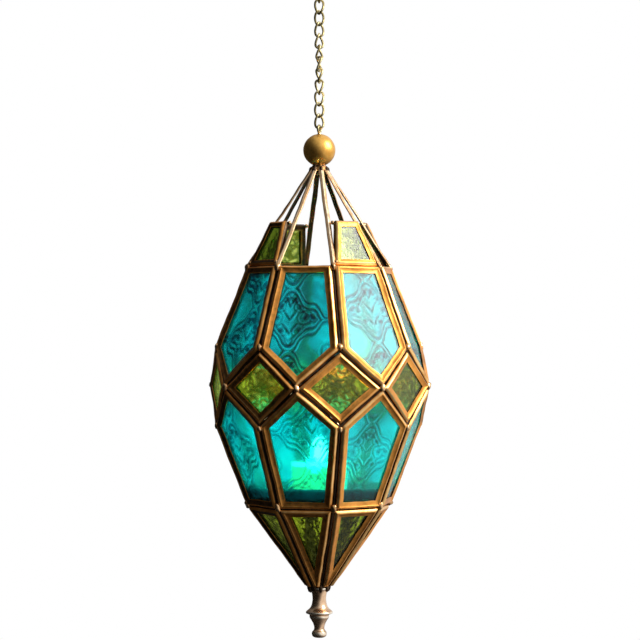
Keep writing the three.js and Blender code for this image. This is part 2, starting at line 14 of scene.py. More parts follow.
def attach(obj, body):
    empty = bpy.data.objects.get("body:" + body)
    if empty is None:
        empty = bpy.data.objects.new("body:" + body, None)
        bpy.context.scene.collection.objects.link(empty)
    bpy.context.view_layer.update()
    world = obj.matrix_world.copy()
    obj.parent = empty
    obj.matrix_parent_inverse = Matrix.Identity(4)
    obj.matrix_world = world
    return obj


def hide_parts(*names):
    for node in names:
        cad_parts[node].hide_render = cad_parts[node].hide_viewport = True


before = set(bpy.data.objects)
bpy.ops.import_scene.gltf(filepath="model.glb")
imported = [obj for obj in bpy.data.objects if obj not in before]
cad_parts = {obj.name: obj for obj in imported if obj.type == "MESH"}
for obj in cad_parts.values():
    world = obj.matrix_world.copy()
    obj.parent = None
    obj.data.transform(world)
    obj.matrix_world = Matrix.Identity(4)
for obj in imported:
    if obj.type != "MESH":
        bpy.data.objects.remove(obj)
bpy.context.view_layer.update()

LOG = logging.getLogger("lantern")

MM = 0.001
EQUATOR = -0.296497
SIDES = 8
STEP = 2 * math.pi / SIDES
FLAT = math.cos(STEP / 2)
SPREAD = math.sin(STEP / 2)

Point = tuple[float, float]
Colour = tuple[float, float, float]
Face = tuple[int, ...]
Shape = tuple[np.ndarray, list[Face]]
Socket = bpy.types.NodeSocket


class Body(Enum):
    """The rigid bodies that the pieces ride on."""

    HOOK = "hook"
    PIN = "pin"
    LANTERN = "lantern"
    TEA_LIGHT = "tea_light"


class Slot(Enum):
    """The finishes named in the record."""

    AGED_BRASS = "aged_brass"
    BALL_GOLD = "ball_gold"
    FINIAL_BRASS = "finial_brass"
    CHAIN_BRASS = "chain_brass"
    TURQUOISE_GLASS = "turquoise_glass"
    OLIVE_GLASS = "olive_glass"
    TRAY_TIN = "tray_tin"
    CUP_PLASTIC = "cup_plastic"
    WAX = "wax"


class Nodes:
    """A node tree in the making."""

    def __init__(self, tree: bpy.types.NodeTree) -> None:
        """Empties the tree."""
        self.tree = tree
        self.tree.nodes.clear()

    def add(self, kind: str, inputs: dict[str | int, object] | None = None, **values: object) -> bpy.types.Node:
        """Adds one node.

        Args:
            kind: The node's type name.
            inputs: Its inputs by name or number; a socket is joined and any other value is set.
            values: Properties of the node, such as its operation.

        Returns:
            The new node.
        """
        node = self.tree.nodes.new(kind)
        for name, value in values.items():
            setattr(node, name, value)
        for name, value in (inputs or {}).items():
            if isinstance(value, Socket):
                self.tree.links.new(value, node.inputs[name])
            else:
                node.inputs[name].default_value = value
        return node


class Shade(Nodes):
    """A material in the making, with short ways to add its usual nodes."""

    def __init__(self, name: str) -> None:
        """Starts an empty node material."""
        self.material = bpy.data.materials.new(name)
        self.material.use_nodes = True
        super().__init__(self.material.node_tree)

    def coords(self) -> Socket:
        """Returns texture coordinates in the object's own space."""
        return self.add("ShaderNodeTexCoord").outputs["Object"]

    def noise(self, scale: float, detail: float = 3.0, roughness: float = 0.55, warp: float = 0.0) -> Socket:
        """Adds a noise texture in object space.

        Args:
            scale: Features per metre.
            detail: Octaves.
            roughness: Share of the finer octaves.
            warp: Distortion.

        Returns:
            The noise value.
        """
        return self.add("ShaderNodeTexNoise", {"Scale": scale, "Detail": detail, "Roughness": roughness,
                                               "Distortion": warp, "Vector": self.coords()}).outputs[0]

    def ramp(self, value: Socket, low: float, high: float, to_low: float = 0.0, to_high: float = 1.0) -> Socket:
        """Maps a range of values to another, clamped and smooth.

        Args:
            value: The value to map.
            low: The value that gives to_low.
            high: The value that gives to_high.
            to_low: The lowest result.
            to_high: The highest result.

        Returns:
            The mapped value.
        """
        return self.add("ShaderNodeMapRange", {"From Min": low, "From Max": high, "To Min": to_low, "To Max": to_high,
                                               "Value": value}, interpolation_type="SMOOTHSTEP").outputs[0]

    def math(self, operation: str, first: Socket | float, second: Socket | float) -> Socket:
        """Adds one sum of two values, clamped to 0 and 1.

        Args:
            operation: The node's operation.
            first: A socket or a number.
            second: A socket or a number.

        Returns:
            The result.
        """
        return self.add("ShaderNodeMath", {0: first, 1: second}, operation=operation, use_clamp=True).outputs[0]

    def blend(self, share: Socket, first: Socket | Colour, second: Socket | Colour) -> Socket:
        """Mixes two colours.

        Args:
            share: How much of the second colour.
            first: A colour or a socket.
            second: A colour or a socket.

        Returns:
            The mixed colour.
        """
        low, high = ((*value, 1.0) if isinstance(value, tuple) else value for value in (first, second))
        return self.add("ShaderNodeMix", {0: share, 6: low, 7: high}, data_type="RGBA").outputs[2]

    def signed_sum(self, first: Socket, second: Socket, share: float) -> Socket:
        """Adds a share of one value to another, without clamping.

        Args:
            first: A value.
            second: The value that is added.
            share: How much of it.

        Returns:
            The sum, less half the share.
        """
        part = self.add("ShaderNodeMath", {0: second, 1: share, 2: -share / 2}, operation="MULTIPLY_ADD")
        return self.add("ShaderNodeMath", {0: first, 1: part.outputs[0]}, operation="ADD").outputs[0]

    def attribute(self, name: str) -> Socket:
        """Returns a value stored on the mesh's points."""
        return self.add("ShaderNodeAttribute", attribute_name=name).outputs["Fac"]

    def bump(self, height: Socket, depth: float, normal: Socket | None = None) -> Socket:
        """Adds a bump of a real depth.

        Args:
            height: The height, from 0 to 1.
            depth: What a height of 1 stands for, in metres.
            normal: A bump under this one.

        Returns:
            The bent normal.
        """
        under = {"Normal": normal} if normal else {}
        return self.add("ShaderNodeBump", {"Strength": 1.0, "Distance": depth, "Height": height, **under}).outputs[0]

    def mix(self, share: Socket | float, first: Socket, second: Socket) -> Socket:
        """Mixes two shaders by how much of the second one."""
        return self.add("ShaderNodeMixShader", {"Fac": share, 1: first, 2: second}).outputs[0]

    def principled(self, **inputs: object) -> Socket:
        """Adds a principled shader, its inputs named with underscores for spaces, and returns its output."""
        named = {name.replace("_", " "): value for name, value in inputs.items()}
        return self.add("ShaderNodeBsdfPrincipled", named).outputs[0]

    def finish(self, surface: Socket) -> bpy.types.Material:
        """Sends a shader to the output and returns the material."""
        self.add("ShaderNodeOutputMaterial", {"Surface": surface})
        return self.material


@dataclass(frozen=True)
class AgedMetal:
    """A metal with a clouded patina, rubbed edges, and a dark colour that is partly grime in its hollows and partly
    painted shade.
    """

    name: str
    patina: Colour
    plain: Colour
    worn: Colour
    roughness: float = 0.34
    spread: float = 0.14
    grain: float = 420.0
    pits: float = 0.00003
    dents: float = 0.0001
    # The dark colour for tone below 0: grime in the hollows, and painted shade where the tone is lowered for shade.
    shade_and_grime: Colour = (0.05, 0.032, 0.018)

    def make(self) -> bpy.types.Material:
        """Makes the metal's material.

        Returns:
            The material, which reads the points' tone: below 0 is darkened toward the dark colour, partly grime and
            partly painted shade, over 0 is rubbed.
        """
        shade = Shade(self.name)
        cloud = shade.noise(55.0, 4.0, 0.6)
        fine = shade.noise(self.grain, 4.0, 0.65)
        tone = shade.attribute("tone")
        base = shade.blend(shade.ramp(cloud, 0.34, 0.62), self.patina, self.plain)
        mottled = shade.blend(shade.math("MULTIPLY", shade.ramp(fine, 0.5, 0.75), 0.35), base, self.patina)
        rub = shade.math("MULTIPLY", tone, shade.ramp(cloud, 0.28, 0.6, 0.5, 1.0))
        rubbed = shade.ramp(shade.math("ADD", rub, shade.math("MULTIPLY", fine, 0.2)), 0.35, 0.9)
        bright = shade.blend(rubbed, mottled, self.worn)
        # Mask of the dark colour: grime in the hollows, and painted shade on the shaded sides, in the grooves and on
        # the cap.
        shade_and_grime_mask = shade.ramp(shade.signed_sum(tone, fine, 0.5), 0.1, -0.5)
        half = self.spread / 2
        dents = shade.bump(shade.noise(150.0, 2.0, 0.5), self.dents)
        return shade.finish(shade.principled(
            Metallic=1.0, Base_Color=shade.blend(shade_and_grime_mask, bright, self.shade_and_grime),
            Roughness=shade.ramp(fine, 0.3, 0.7, self.roughness - half, self.roughness + half),
            Normal=shade.bump(fine, self.pits, dents)))


@dataclass(frozen=True)
class PressedGlass:
    """Coloured glass, deeper in colour where it is thick, that lets lamp light through."""

    name: str
    clear: Colour
    deep: Colour
    roughness: float = 0.08
    streaks: float = 45.0
    grain: float = 700.0
    ior: float = 1.45
    haze: float = 0.1

    def make(self) -> bpy.types.Material:
        """Makes the glass.

        Returns:
            The material, which reads the points' tone: 0 is thin and 1 is thick, and some panes' tone is raised as
            painted shade.
        """
        shade = Shade(self.name)
        cloud = shade.ramp(shade.noise(self.streaks, 3.0, 0.6, 0.6), 0.3, 0.7, 0.0, 0.25)
        colour = shade.blend(shade.math("ADD", shade.attribute("tone"), cloud), self.clear, self.deep)
        body = shade.principled(Transmission_Weight=1.0, IOR=self.ior, Roughness=self.roughness, Base_Color=colour,
                                Normal=shade.bump(shade.noise(self.grain, 3.0, 0.6), 0.00003))
        haze = shade.add("ShaderNodeBsdfTranslucent", {"Color": colour}).outputs[0]
        through = shade.add("ShaderNodeBsdfTransparent", {"Color": (*self.clear, 1.0)}).outputs[0]
        shadow = shade.add("ShaderNodeLightPath").outputs["Is Shadow Ray"]
        return shade.finish(shade.mix(shadow, shade.mix(self.haze, body, haze), through))


@dataclass(frozen=True)
class Paraffin:
    """Wax with a painted glow from its flame, an emission brightest near its top."""

    name: str = "paraffin"
    colour: Colour = (0.93, 0.86, 0.68)
    cloudy: Colour = (0.96, 0.91, 0.78)
    glow: Colour = (1.0, 0.74, 0.1)
    ember: Colour = (0.75, 0.34, 0.05)
    strength: float = 2.4
    foot: float = -0.0744
    top: float = -0.0539

    def make(self) -> bpy.types.Material:
        """Makes the wax, with the flame's light through it painted as emission."""
        shade = Shade(self.name)
        cloud = shade.noise(220.0, 3.0)
        place = shade.add("ShaderNodeSeparateXYZ", {0: shade.coords()})
        rise = shade.ramp(place.outputs["Z"], EQUATOR + self.foot, EQUATOR + self.top)
        return shade.finish(shade.principled(
            Base_Color=shade.blend(shade.ramp(cloud, 0.3, 0.7), self.colour, self.cloudy), Roughness=0.35,
            Subsurface_Weight=0.6, Subsurface_Radius=(0.012, 0.006, 0.003),
            # Painted light: the wax emits, orange at its foot and yellow at its top, standing for the flame's light in
            # it.
            Emission_Color=shade.blend(rise, self.ember, self.glow), Emission_Strength=self.strength,
            Normal=shade.bump(cloud, 0.0002)))


@dataclass(frozen=True)
class Flame:
    """The flame's own light, paler toward its heart."""

    name: str = "flame"
    low: Colour = (1.0, 0.55, 0.16)
    high: Colour = (1.0, 0.9, 0.62)
    strength: float = 280.0

    def make(self) -> bpy.types.Material:
        """Makes the flame."""
        shade = Shade(self.name)
        facing = shade.add("ShaderNodeLayerWeight", {"Blend": 0.35}).outputs["Facing"]
        colour = shade.blend(shade.ramp(facing, 0.15, 0.85), self.high, self.low)
        warm = shade.blend(shade.math("MULTIPLY", shade.noise(140.0, 2.0), 0.3), colour, self.low)
        return shade.finish(shade.add("ShaderNodeEmission", {"Color": warm, "Strength": self.strength}).outputs[0])


@dataclass(frozen=True)
class BurntCotton:
    """The charred wick."""

    name: str = "burnt_cotton"
    colour: Colour = (0.035, 0.026, 0.02)
    ash: Colour = (0.22, 0.17, 0.13)

    def make(self) -> bpy.types.Material:
        """Makes the wick."""
        shade = Shade(self.name)
        fibres = shade.noise(1500.0, 3.0)
        return shade.finish(shade.principled(
            Base_Color=shade.blend(shade.ramp(fibres, 0.5, 0.75), self.colour, self.ash), Roughness=0.9,
            Normal=shade.bump(fibres, 0.00015)))


FRAME_BRASS = AgedMetal("aged_brass", (0.58, 0.23, 0.045), (0.93, 0.4, 0.085), (0.97, 0.64, 0.27), 0.36)
RUBBED_BRASS = AgedMetal("rubbed_brass", (0.5, 0.27, 0.12), (0.82, 0.56, 0.32), (0.97, 0.86, 0.66), 0.34)
SOLDER = AgedMetal("solder", (0.5, 0.28, 0.12), (0.85, 0.55, 0.28), (0.95, 0.8, 0.55), 0.2, pits=0.00008)
# Near-black metal for solder, partly painted shade in the grooves between frames, under the ball's cap and at the
# cone's tip.
SEAM_SOLDER_AND_SHADE = AgedMetal("seam_solder_and_shade", (0.03, 0.02, 0.014), (0.1, 0.06, 0.035), (0.2, 0.13, 0.08), 0.5)
BALL_GOLD = AgedMetal("ball_gold", (0.6, 0.28, 0.05), (0.88, 0.5, 0.12), (0.94, 0.66, 0.24), 0.38, 0.08, pits=0.00002)
FINIAL_BRASS = AgedMetal("finial_brass", (0.42, 0.24, 0.14), (0.82, 0.56, 0.36), (0.97, 0.86, 0.7), 0.26)
CHAIN_BRASS = AgedMetal("chain_brass", (0.3, 0.24, 0.1), (0.66, 0.54, 0.27), (0.93, 0.82, 0.5), 0.36)
TRAY_TIN = AgedMetal("tray_tin", (0.008, 0.007, 0.006), (0.022, 0.017, 0.013), (0.12, 0.09, 0.07), 0.55)
TURQUOISE = PressedGlass("turquoise_glass", (0.01, 0.88, 0.94), (0.001, 0.06, 0.1), 0.13, ior=1.4, haze=0.1)
OLIVE = PressedGlass("olive_glass", (0.82, 0.92, 0.22), (0.1, 0.15, 0.01), 0.1, ior=1.42, haze=0.08)
CLEAR_PLASTIC = PressedGlass("clear_plastic", (0.97, 0.98, 0.95), (0.93, 0.95, 0.9), 0.12, ior=1.25, haze=0.2)
WAX = Paraffin()


@dataclass(frozen=True)
class Studio:
    """The camera, the lamps, the world and the floor. Lengths are in metres."""

    azimuth: float = math.radians(11.3)
    distance: float = 1.6
    view_width: float = 0.4352
    view_height: float = EQUATOR + 0.0445
    axis_offset: float = 0.0005
    sensor: float = 36.0
    floor_height: float = -1.5
    floor_radius: float = 0.8
    key_direction: tuple[float, float, float] = (0.845, -0.05, 0.533)
    key_distance: float = 1.3
    key_size: float = 0.6
    key_power: float = 14.5
    lit_side: tuple[float, float, float] = (0.85, 0.17, 0.5)
    fall_off: float = 4.0
    lit_share: float = 0.286
    unlit: float = 0.006
    fill: float = 0.6

    def toward_camera(self) -> Vector:
        """Returns the level direction from the lantern to the camera."""
        return Vector((math.sin(self.azimuth), -math.cos(self.azimuth), 0.0))

    def build(self) -> None:
        """Makes everything that isn't part of the lantern."""
        self.add_camera()
        self.add_world()
        self.add_key()
        self.add_floor()
        bpy.context.scene.view_settings.view_transform = "Standard"

    def add_camera(self) -> None:
        """Adds the level camera, so that the lantern's axis falls where the photograph has it."""
        toward = self.toward_camera()
        right = Vector((math.cos(self.azimuth), math.sin(self.azimuth), 0.0))
        data = bpy.data.cameras.new("camera")
        data.sensor_width = self.sensor
        data.lens = self.sensor * self.distance / self.view_width
        camera = bpy.data.objects.new("camera", data)
        centre = Vector((0, 0, self.view_height)) + right * self.axis_offset
        camera.location = centre + toward * self.distance
        camera.rotation_euler = (-toward).to_track_quat("-Z", "Y").to_euler()
        bpy.context.scene.collection.objects.link(camera)
        bpy.context.scene.camera = camera

    def add_world(self) -> None:
        """Adds a white background, and a soft light that falls off to the left and front.

        The camera and the rays through glass see the white background. Reflections see it too on its lit side, and
        the unlit side of the studio on the other.
        """
        world = bpy.data.worlds.new("studio")
        bpy.context.scene.world = world
        world.use_nodes = True
        nodes = Nodes(world.node_tree)
        path = nodes.add("ShaderNodeLightPath").outputs
        direct = nodes.add("ShaderNodeMath", {0: path["Is Camera Ray"], 1: path["Is Transmission Ray"]},
                           operation="MAXIMUM").outputs[0]
        seen = nodes.add("ShaderNodeMath", {0: direct, 1: path["Is Glossy Ray"]}, operation="MAXIMUM").outputs[0]
        direction = nodes.add("ShaderNodeTexCoord").outputs["Generated"]
        side = nodes.add("ShaderNodeVectorMath", {0: direction, 1: Vector(self.lit_side).normalized()},
                         operation="DOT_PRODUCT").outputs["Value"]
        half = nodes.add("ShaderNodeMapRange", {"From Min": -1.0, "Value": side}).outputs["Result"]
        curve = nodes.add("ShaderNodeMath", {0: half, 1: self.fall_off}, operation="POWER").outputs[0]
        lit = nodes.add("ShaderNodeMapRange", {"From Max": self.lit_share, "To Min": self.unlit,
                                               "Value": curve}).outputs["Result"]
        level = nodes.add("ShaderNodeMath", {0: lit, 1: direct}, operation="MAXIMUM").outputs[0]
        white = nodes.add("ShaderNodeBackground", {"Color": (1.0, 1.0, 1.0, 1.0), "Strength": level}).outputs[0]
        soft = nodes.add("ShaderNodeBackground", {"Color": (1.0, 0.99, 0.97, 1.0), "Strength": self.fill}).outputs[0]
        mix = nodes.add("ShaderNodeMixShader", {"Fac": seen, 1: soft, 2: white}).outputs[0]
        nodes.add("ShaderNodeOutputWorld", {"Surface": mix})

    def add_key(self) -> None:
        """Adds the large soft lamp on the right."""
        data = bpy.data.lights.new("key_lamp", "AREA")
        data.shape = "SQUARE"
        data.size = self.key_size
        data.energy = self.key_power
        lamp = bpy.data.objects.new("key_lamp", data)
        direction = Vector(self.key_direction).normalized()
        lamp.location = Vector((0, 0, EQUATOR)) + direction * self.key_distance
        lamp.rotation_euler = (-direction).to_track_quat("-Z", "Y").to_euler()
        bpy.context.scene.collection.objects.link(lamp)

    def add_floor(self) -> None:
        """Adds a pale round floor under the lantern, whose rim fades out."""
        count = 96
        rings = [0.35, 0.7, 1.0]
        verts = [(0.0, 0.0, self.floor_height)]
        for ring in rings:
            radius = ring * self.floor_radius
            for at in range(count):
                angle = 2 * math.pi * at / count
                verts.append((radius * math.cos(angle), radius * math.sin(angle), self.floor_height))
        faces: list[Face] = [(0, 1 + at, 1 + (at + 1) % count) for at in range(count)]
        for ring in range(len(rings) - 1):
            low, high = 1 + ring * count, 1 + (ring + 1) * count
            for at in range(count):
                after = (at + 1) % count
                faces.append((low + at, high + at, high + after, low + after))
        mesh = bpy.data.meshes.new("floor")
        mesh.from_pydata(verts, [], faces)
        floor = bpy.data.objects.new("floor", mesh)
        bpy.context.scene.collection.objects.link(floor)
        floor.data.materials.append(self.floor_material())

    def floor_material(self) -> bpy.types.Material:
        """Makes the floor's pale matte finish, clear at its rim."""
        shade = Shade("floor")
        matte = shade.principled(Base_Color=(0.86, 0.86, 0.85, 1.0), Roughness=0.8)
        clear = shade.add("ShaderNodeBsdfTransparent").outputs[0]
        length = shade.add("ShaderNodeVectorMath", {0: shade.coords()}, operation="LENGTH").outputs["Value"]
        fade = shade.ramp(length, self.floor_radius * 0.45, self.floor_radius * 0.98)
        return shade.finish(shade.mix(fade, matte, clear))


@dataclass(frozen=True)
class BodySizes:
    """The driving sizes of the lantern's body, in millimetres from the equator."""

    ring_radius: float = 50.0
    ring_height: float = 81.6
    shoulder_radius: float = 72.5
    shoulder_height: float = 25.2
    diamond_set_back: float = 1.5
    cone_tip_radius: float = 9.4
    cone_height: float = 55.4
    frame_face: float = 5.2
    frame_lip: float = 0.8
    frame_web: float = 0.8
    pane_thickness: float = 2.0
    clearance: float = 0.3
    cone_pane_foot: float = 12.0

    @property
    def frame_depth(self) -> float:
        """From a frame's front to its back."""
        return self.pane_thickness + 2 * self.clearance + 2 * self.frame_lip

    @property
    def pane_front(self) -> float:
        """How far a pane lies behind its frame's front."""
        return self.frame_lip + self.clearance

    @property
    def ring_apothem(self) -> float:
        """From the axis to the middle of a side, at the rings."""
        return self.ring_radius * FLAT

    @property
    def slope(self) -> float:
        """How fast the sides widen toward the equator."""
        return (self.shoulder_radius * FLAT - self.ring_apothem) / (self.ring_height - self.shoulder_height)

    @property
    def point_apothem(self) -> float:
        """From the axis to the point of a five-sided frame, on the equator."""
        return self.ring_apothem + self.slope * self.ring_height

    @property
    def diamond_apothem(self) -> float:
        """From the axis to the upright plane of a diamond."""
        return self.shoulder_radius - self.diamond_set_back

    @property
    def cone_tip_height(self) -> float:
        """Where the cone ends, below the equator."""
        return -self.ring_height - self.cone_height


SIZES = BodySizes()


class Facet:
    """The plane of one side: x runs along it, y up it and z out of it."""

    def __init__(self, low: Point, high: Point) -> None:
        """Lays the plane through two level lines.

        Args:
            low: Distance from the axis and height of the lower line.
            high: The same for the upper line.
        """
        across = Vector((0.0, 1.0, 0.0))
        self.up = Vector((high[0] - low[0], 0.0, high[1] - low[1])).normalized()
        self.out = across.cross(self.up)
        self.length = math.dist(low, high)
        self.basis = np.array([across, self.up, self.out])
        self.origin = np.array([low[0], 0.0, low[1]])

    def place(self, points: np.ndarray, turn: float) -> np.ndarray:
        """Moves points from the plane to a side of the lantern.

        Args:
            points: Rows of x, y and z in the plane.
            turn: The side's angle round the axis.

        Returns:
            The points in the lantern's frame.
        """
        local = points @ self.basis + self.origin
        cos, sin = math.cos(turn), math.sin(turn)
        x = local[:, 0] * cos - local[:, 1] * sin
        y = local[:, 0] * sin + local[:, 1] * cos
        return np.column_stack([x, y, local[:, 2]])

    def seam(self, other: "Facet", turn: float) -> float:
        """Returns how far a frame stays from a nominal edge to clear its neighbour's inner corner.

        Args:
            other: The neighbour's plane.
            turn: The neighbour's angle round the axis.

        Returns:
            The inset of the edge.
        """
        neighbour = Matrix.Rotation(turn, 3, "Z") @ other.out
        return SIZES.frame_depth * math.tan(self.out.angle(neighbour) / 2) + SIZES.clearance / 2


class Outline:
    """A convex outline in a facet, counter-clockwise, each edge with its own inset."""

    def __init__(self, corners: Sequence[Point], insets: Sequence[float]) -> None:
        """Keeps the nominal corners and each edge's inset.

        Args:
            corners: The nominal corners.
            insets: How far in each edge lies; edge i runs from corner i to the next.
        """
        self.nominal = np.array(corners, dtype=float)
        self.insets = np.array(insets, dtype=float)
        ahead = np.roll(self.nominal, -1, axis=0) - self.nominal
        self.along = ahead / np.linalg.norm(ahead, axis=1)[:, None]
        self.inward = np.column_stack([-self.along[:, 1], self.along[:, 0]])

    def meet(self, first: int, second: int, distance: float) -> np.ndarray:
        """Returns where two edges meet, both moved in by a distance."""
        rows = self.inward[[first, second]]
        reach = [rows[at] @ self.nominal[edge] + self.insets[edge] + distance
                 for at, edge in enumerate((first, second))]
        return np.linalg.solve(rows, np.array(reach))

    def corners(self, distance: float) -> np.ndarray:
        """Returns the corners moved in by a distance; an edge that would turn round shrinks to a point.

        Args:
            distance: How far in from the frame's own edges.

        Returns:
            One row for each corner.
        """
        count = len(self.nominal)
        points = np.array([self.meet(at - 1, at, distance) for at in range(count)])
        for edge in range(count):
            after = (edge + 1) % count
            if (points[after] - points[edge]) @ self.along[edge] < 0:
                points[edge] = points[after] = self.meet(edge - 1, after, distance)
        return points


def tube(rings: int, around: int, closed: bool = False, capped: bool = False) -> list[Face]:
    """Joins rings of points with faces.

    Args:
        rings: How many rings there are.
        around: Points on each ring.
        closed: Whether the last ring joins the first.
        capped: Whether a face closes each end.

    Returns:
        The faces.
    """
    faces: list[Face] = [(ring * around + at, ring * around + (at + 1) % around,
                          (ring + 1) % rings * around + (at + 1) % around, (ring + 1) % rings * around + at)
                         for ring in range(rings if closed else rings - 1) for at in range(around)]
    if capped:
        faces += [tuple(range(around))[::-1], tuple((rings - 1) * around + at for at in range(around))]
    return faces


def off_axis(radius: float, angle: float, height: float) -> np.ndarray:
    """Returns the place at a radius, an angle and a height."""
    return np.array([radius * math.cos(angle), radius * math.sin(angle), height])


def upright_ring(radius: float, centre: float, steps: int = 48) -> np.ndarray:
    """Returns an upright circle of points whose middle is on the axis."""
    angles = [2 * math.pi * step / steps for step in range(steps)]
    return np.array([(radius * math.cos(angle), 0.0, centre + radius * math.sin(angle)) for angle in angles])


NOISE_SEED = 7
BROAD_WAVE, BROAD_SHIFT = 0.045, 0.4
FINE_WAVE, FINE_SHIFT = 0.16, 0.2


def handmade(points: np.ndarray) -> np.ndarray:
    """Moves points a little, so that edges and faces run as unevenly as hand work.

    Args:
        points: Rows of millimetres in the lantern's frame.

    Returns:
        The moved points.
    """
    moved = points.copy()
    for row, point in enumerate(points):
        spot = Vector(point)
        broad = noise.noise_vector(spot * BROAD_WAVE) * BROAD_SHIFT
        fine = noise.noise_vector(spot * FINE_WAVE + Vector((7.0, 3.0, 1.0))) * FINE_SHIFT
        moved[row] += np.array(broad + fine)
    return moved


def add_piece(name: str, points: np.ndarray, faces: Iterable[Sequence[int]], material: bpy.types.Material,
              body: str, stands_for: Sequence[str], tone: np.ndarray | None = None,
              sharp: float = math.radians(34)) -> bpy.types.Object:
    """Makes one object of the lantern.

    Args:
        name: The object's name.
        points: Rows of millimetres from the equator.
        faces: Corner numbers of each face.
        material: Its finish.
        body: The body that it rides on.
        stands_for: The CAD nodes that it replaces.
        tone: How rubbed each point of metal is, or below 0 how darkened by grime and by painted shade; for glass how
            thick, plus painted shade on some panes, from 0 to 1.
        sharp: Edges turn hard over this angle.

    Returns:
        The object.
    """
    mesh = bpy.data.meshes.new(name)
    placed = points * MM + np.array([0.0, 0.0, EQUATOR])
    mesh.from_pydata(placed.tolist(), [], [list(face) for face in faces])
    if tone is not None:
        mesh.attributes.new("tone", "FLOAT", "POINT").data.foreach_set("value", tone.astype(np.float32))
    mesh.validate()
    mesh.shade_smooth()
    mesh.set_sharp_from_angle(angle=sharp)
    mesh.materials.append(material)
    piece = bpy.data.objects.new(name, mesh)
    bpy.context.scene.collection.objects.link(piece)
    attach(piece, body)
    if stands_for:
        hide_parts(*stands_for)
    return piece


class Kind(Enum):
    """The kinds of frame and pane on the body."""

    UPPER = "upper"
    DIAMOND = "diamond"
    LOWER = "lower"
    CONE = "cone"


class Layout:
    """Where each kind of frame lies: its plane, its outline and its turns round the axis."""

    def __init__(self, sizes: BodySizes) -> None:
        """Works the planes and outlines out from the driving sizes.

        Args:
            sizes: The body's sizes.
        """
        ring, point = sizes.ring_apothem, sizes.point_apothem
        self.facets = {
            Kind.UPPER: Facet((point, 0.0), (ring, sizes.ring_height)),
            Kind.LOWER: Facet((ring, -sizes.ring_height), (point, 0.0)),
            Kind.DIAMOND: Facet((sizes.diamond_apothem, -sizes.shoulder_height),
                                (sizes.diamond_apothem, sizes.shoulder_height)),
            Kind.CONE: Facet((sizes.cone_tip_radius * FLAT, sizes.cone_tip_height), (ring, -sizes.ring_height)),
        }
        upper, cone = self.facets[Kind.UPPER], self.facets[Kind.CONE]
        side = upper.seam(upper, STEP)
        across = upper.seam(self.facets[Kind.DIAMOND], STEP / 2)
        level = self.facets[Kind.LOWER].seam(cone, 0.0)
        narrow = cone.seam(cone, STEP)
        shoulder_up = sizes.shoulder_height / upper.up.z
        shoulder_half, ring_half = sizes.shoulder_radius * SPREAD, sizes.ring_radius * SPREAD
        diamond_half = sizes.diamond_apothem * math.tan(STEP / 2)
        tip_half = sizes.cone_tip_radius * SPREAD
        top, rise = upper.length, sizes.shoulder_height
        self.outlines = {
            Kind.UPPER: Outline([(0, 0), (shoulder_half, shoulder_up), (ring_half, top), (-ring_half, top),
                                 (-shoulder_half, shoulder_up)], [across, side, level, side, across]),
            Kind.LOWER: Outline([(-ring_half, 0), (ring_half, 0), (shoulder_half, top - shoulder_up), (0, top),
                                 (-shoulder_half, top - shoulder_up)], [level, side, across, across, side]),
            Kind.DIAMOND: Outline([(0, 0), (diamond_half, rise), (0, 2 * rise), (-diamond_half, rise)],
                                  [across] * 4),
            Kind.CONE: Outline([(-tip_half, 0), (tip_half, 0), (ring_half, cone.length),
                                (-ring_half, cone.length)], [0.0, narrow, level, narrow]),
        }

    def turns(self, kind: Kind) -> list[float]:
        """Returns the angle of each of a kind's eight places."""
        start = STEP / 2 if kind is Kind.DIAMOND else 0.0
        return [start + side * STEP for side in range(SIDES)]


LAYOUT = Layout(SIZES)


@dataclass(frozen=True)
class FoldedBar:
    """The section of a folded strip round a pane, from its outer wall over its sloped face to its back.

    Each point is a share of the face's width, a depth behind the nominal front, and its tone.
    """

    face: float = SIZES.frame_face
    ridge: float = 0.42
    inner: float = 0.5
    pitch: float = 1.7

    def section(self) -> list[tuple[float, float, float]]:
        """Returns the section's points in order, round the bar.

        Returns:
            Distance in from the outer edge, depth, and tone.
        """
        depth, web, lip = SIZES.frame_depth, SIZES.frame_web, SIZES.frame_lip
        face, ridge, inner = self.face, self.ridge, self.inner
        middle = (inner - ridge) / 2
        # Tone below 0 darkens the outer wall, the web, the inner lip and the back: partly grime, partly painted shade
        # in the grooves between frames.
        return [
            (0.02, 2.0, -1.0), (0.0, 1.4, -0.6), (0.1, 1.0, 0.3), (0.5, 0.52, 0.8), (0.9, 0.06, 0.8),
            (1.25, -ridge * 0.6, 0.6), (1.6, -ridge * 0.95, 0.4), (2.0, -ridge, 0.0),
            (face * 0.5, middle * 0.86, 0.0), (face - 0.9, inner * 0.68, 0.0), (face - 0.35, inner * 0.88, 0.25),
            (face - 0.05, inner, 0.5), (face, inner + 0.18, 0.1), (face - 0.12, inner + 0.27, -0.8),
            (web, lip + 0.25, -1.0), (web, depth - lip, -1.0), (face - 0.2, depth - lip, -0.8),
            (face, depth - lip * 0.6, -0.2), (face - 0.2, depth - 0.06, 0.1), (face * 0.5, depth, -0.3),
            (0.7, depth, -0.2), (0.2, depth - 0.15, -0.2), (0.0, depth - 0.6, -0.8),
        ]

    def sweep(self, outline: Outline) -> tuple[np.ndarray, list[Face], np.ndarray]:
        """Runs the section round an outline with mitred corners.

        Args:
            outline: The frame's outline.

        Returns:
            Points in the plane, faces, and each point's tone.
        """
        section = self.section()
        base = outline.corners(0.0)
        count = len(base)
        lengths = [float(np.linalg.norm(base[(at + 1) % count] - base[at])) for at in range(count)]
        steps = [max(3, round(length / self.pitch)) for length in lengths]
        points: list[tuple[float, float, float]] = []
        tone: list[float] = []
        for inset, depth, rub in section:
            corners = outline.corners(inset)
            for edge in range(count):
                start, end = corners[edge], corners[(edge + 1) % count]
                for step in range(steps[edge]):
                    share = step / steps[edge]
                    spot = start + (end - start) * share
                    dip = 0.16 if step == 0 and rub > 0.5 else 0.0
                    points.append((spot[0], spot[1], -depth - dip))
                    tone.append(rub)
        return np.array(points), tube(len(section), sum(steps), closed=True), np.array(tone)


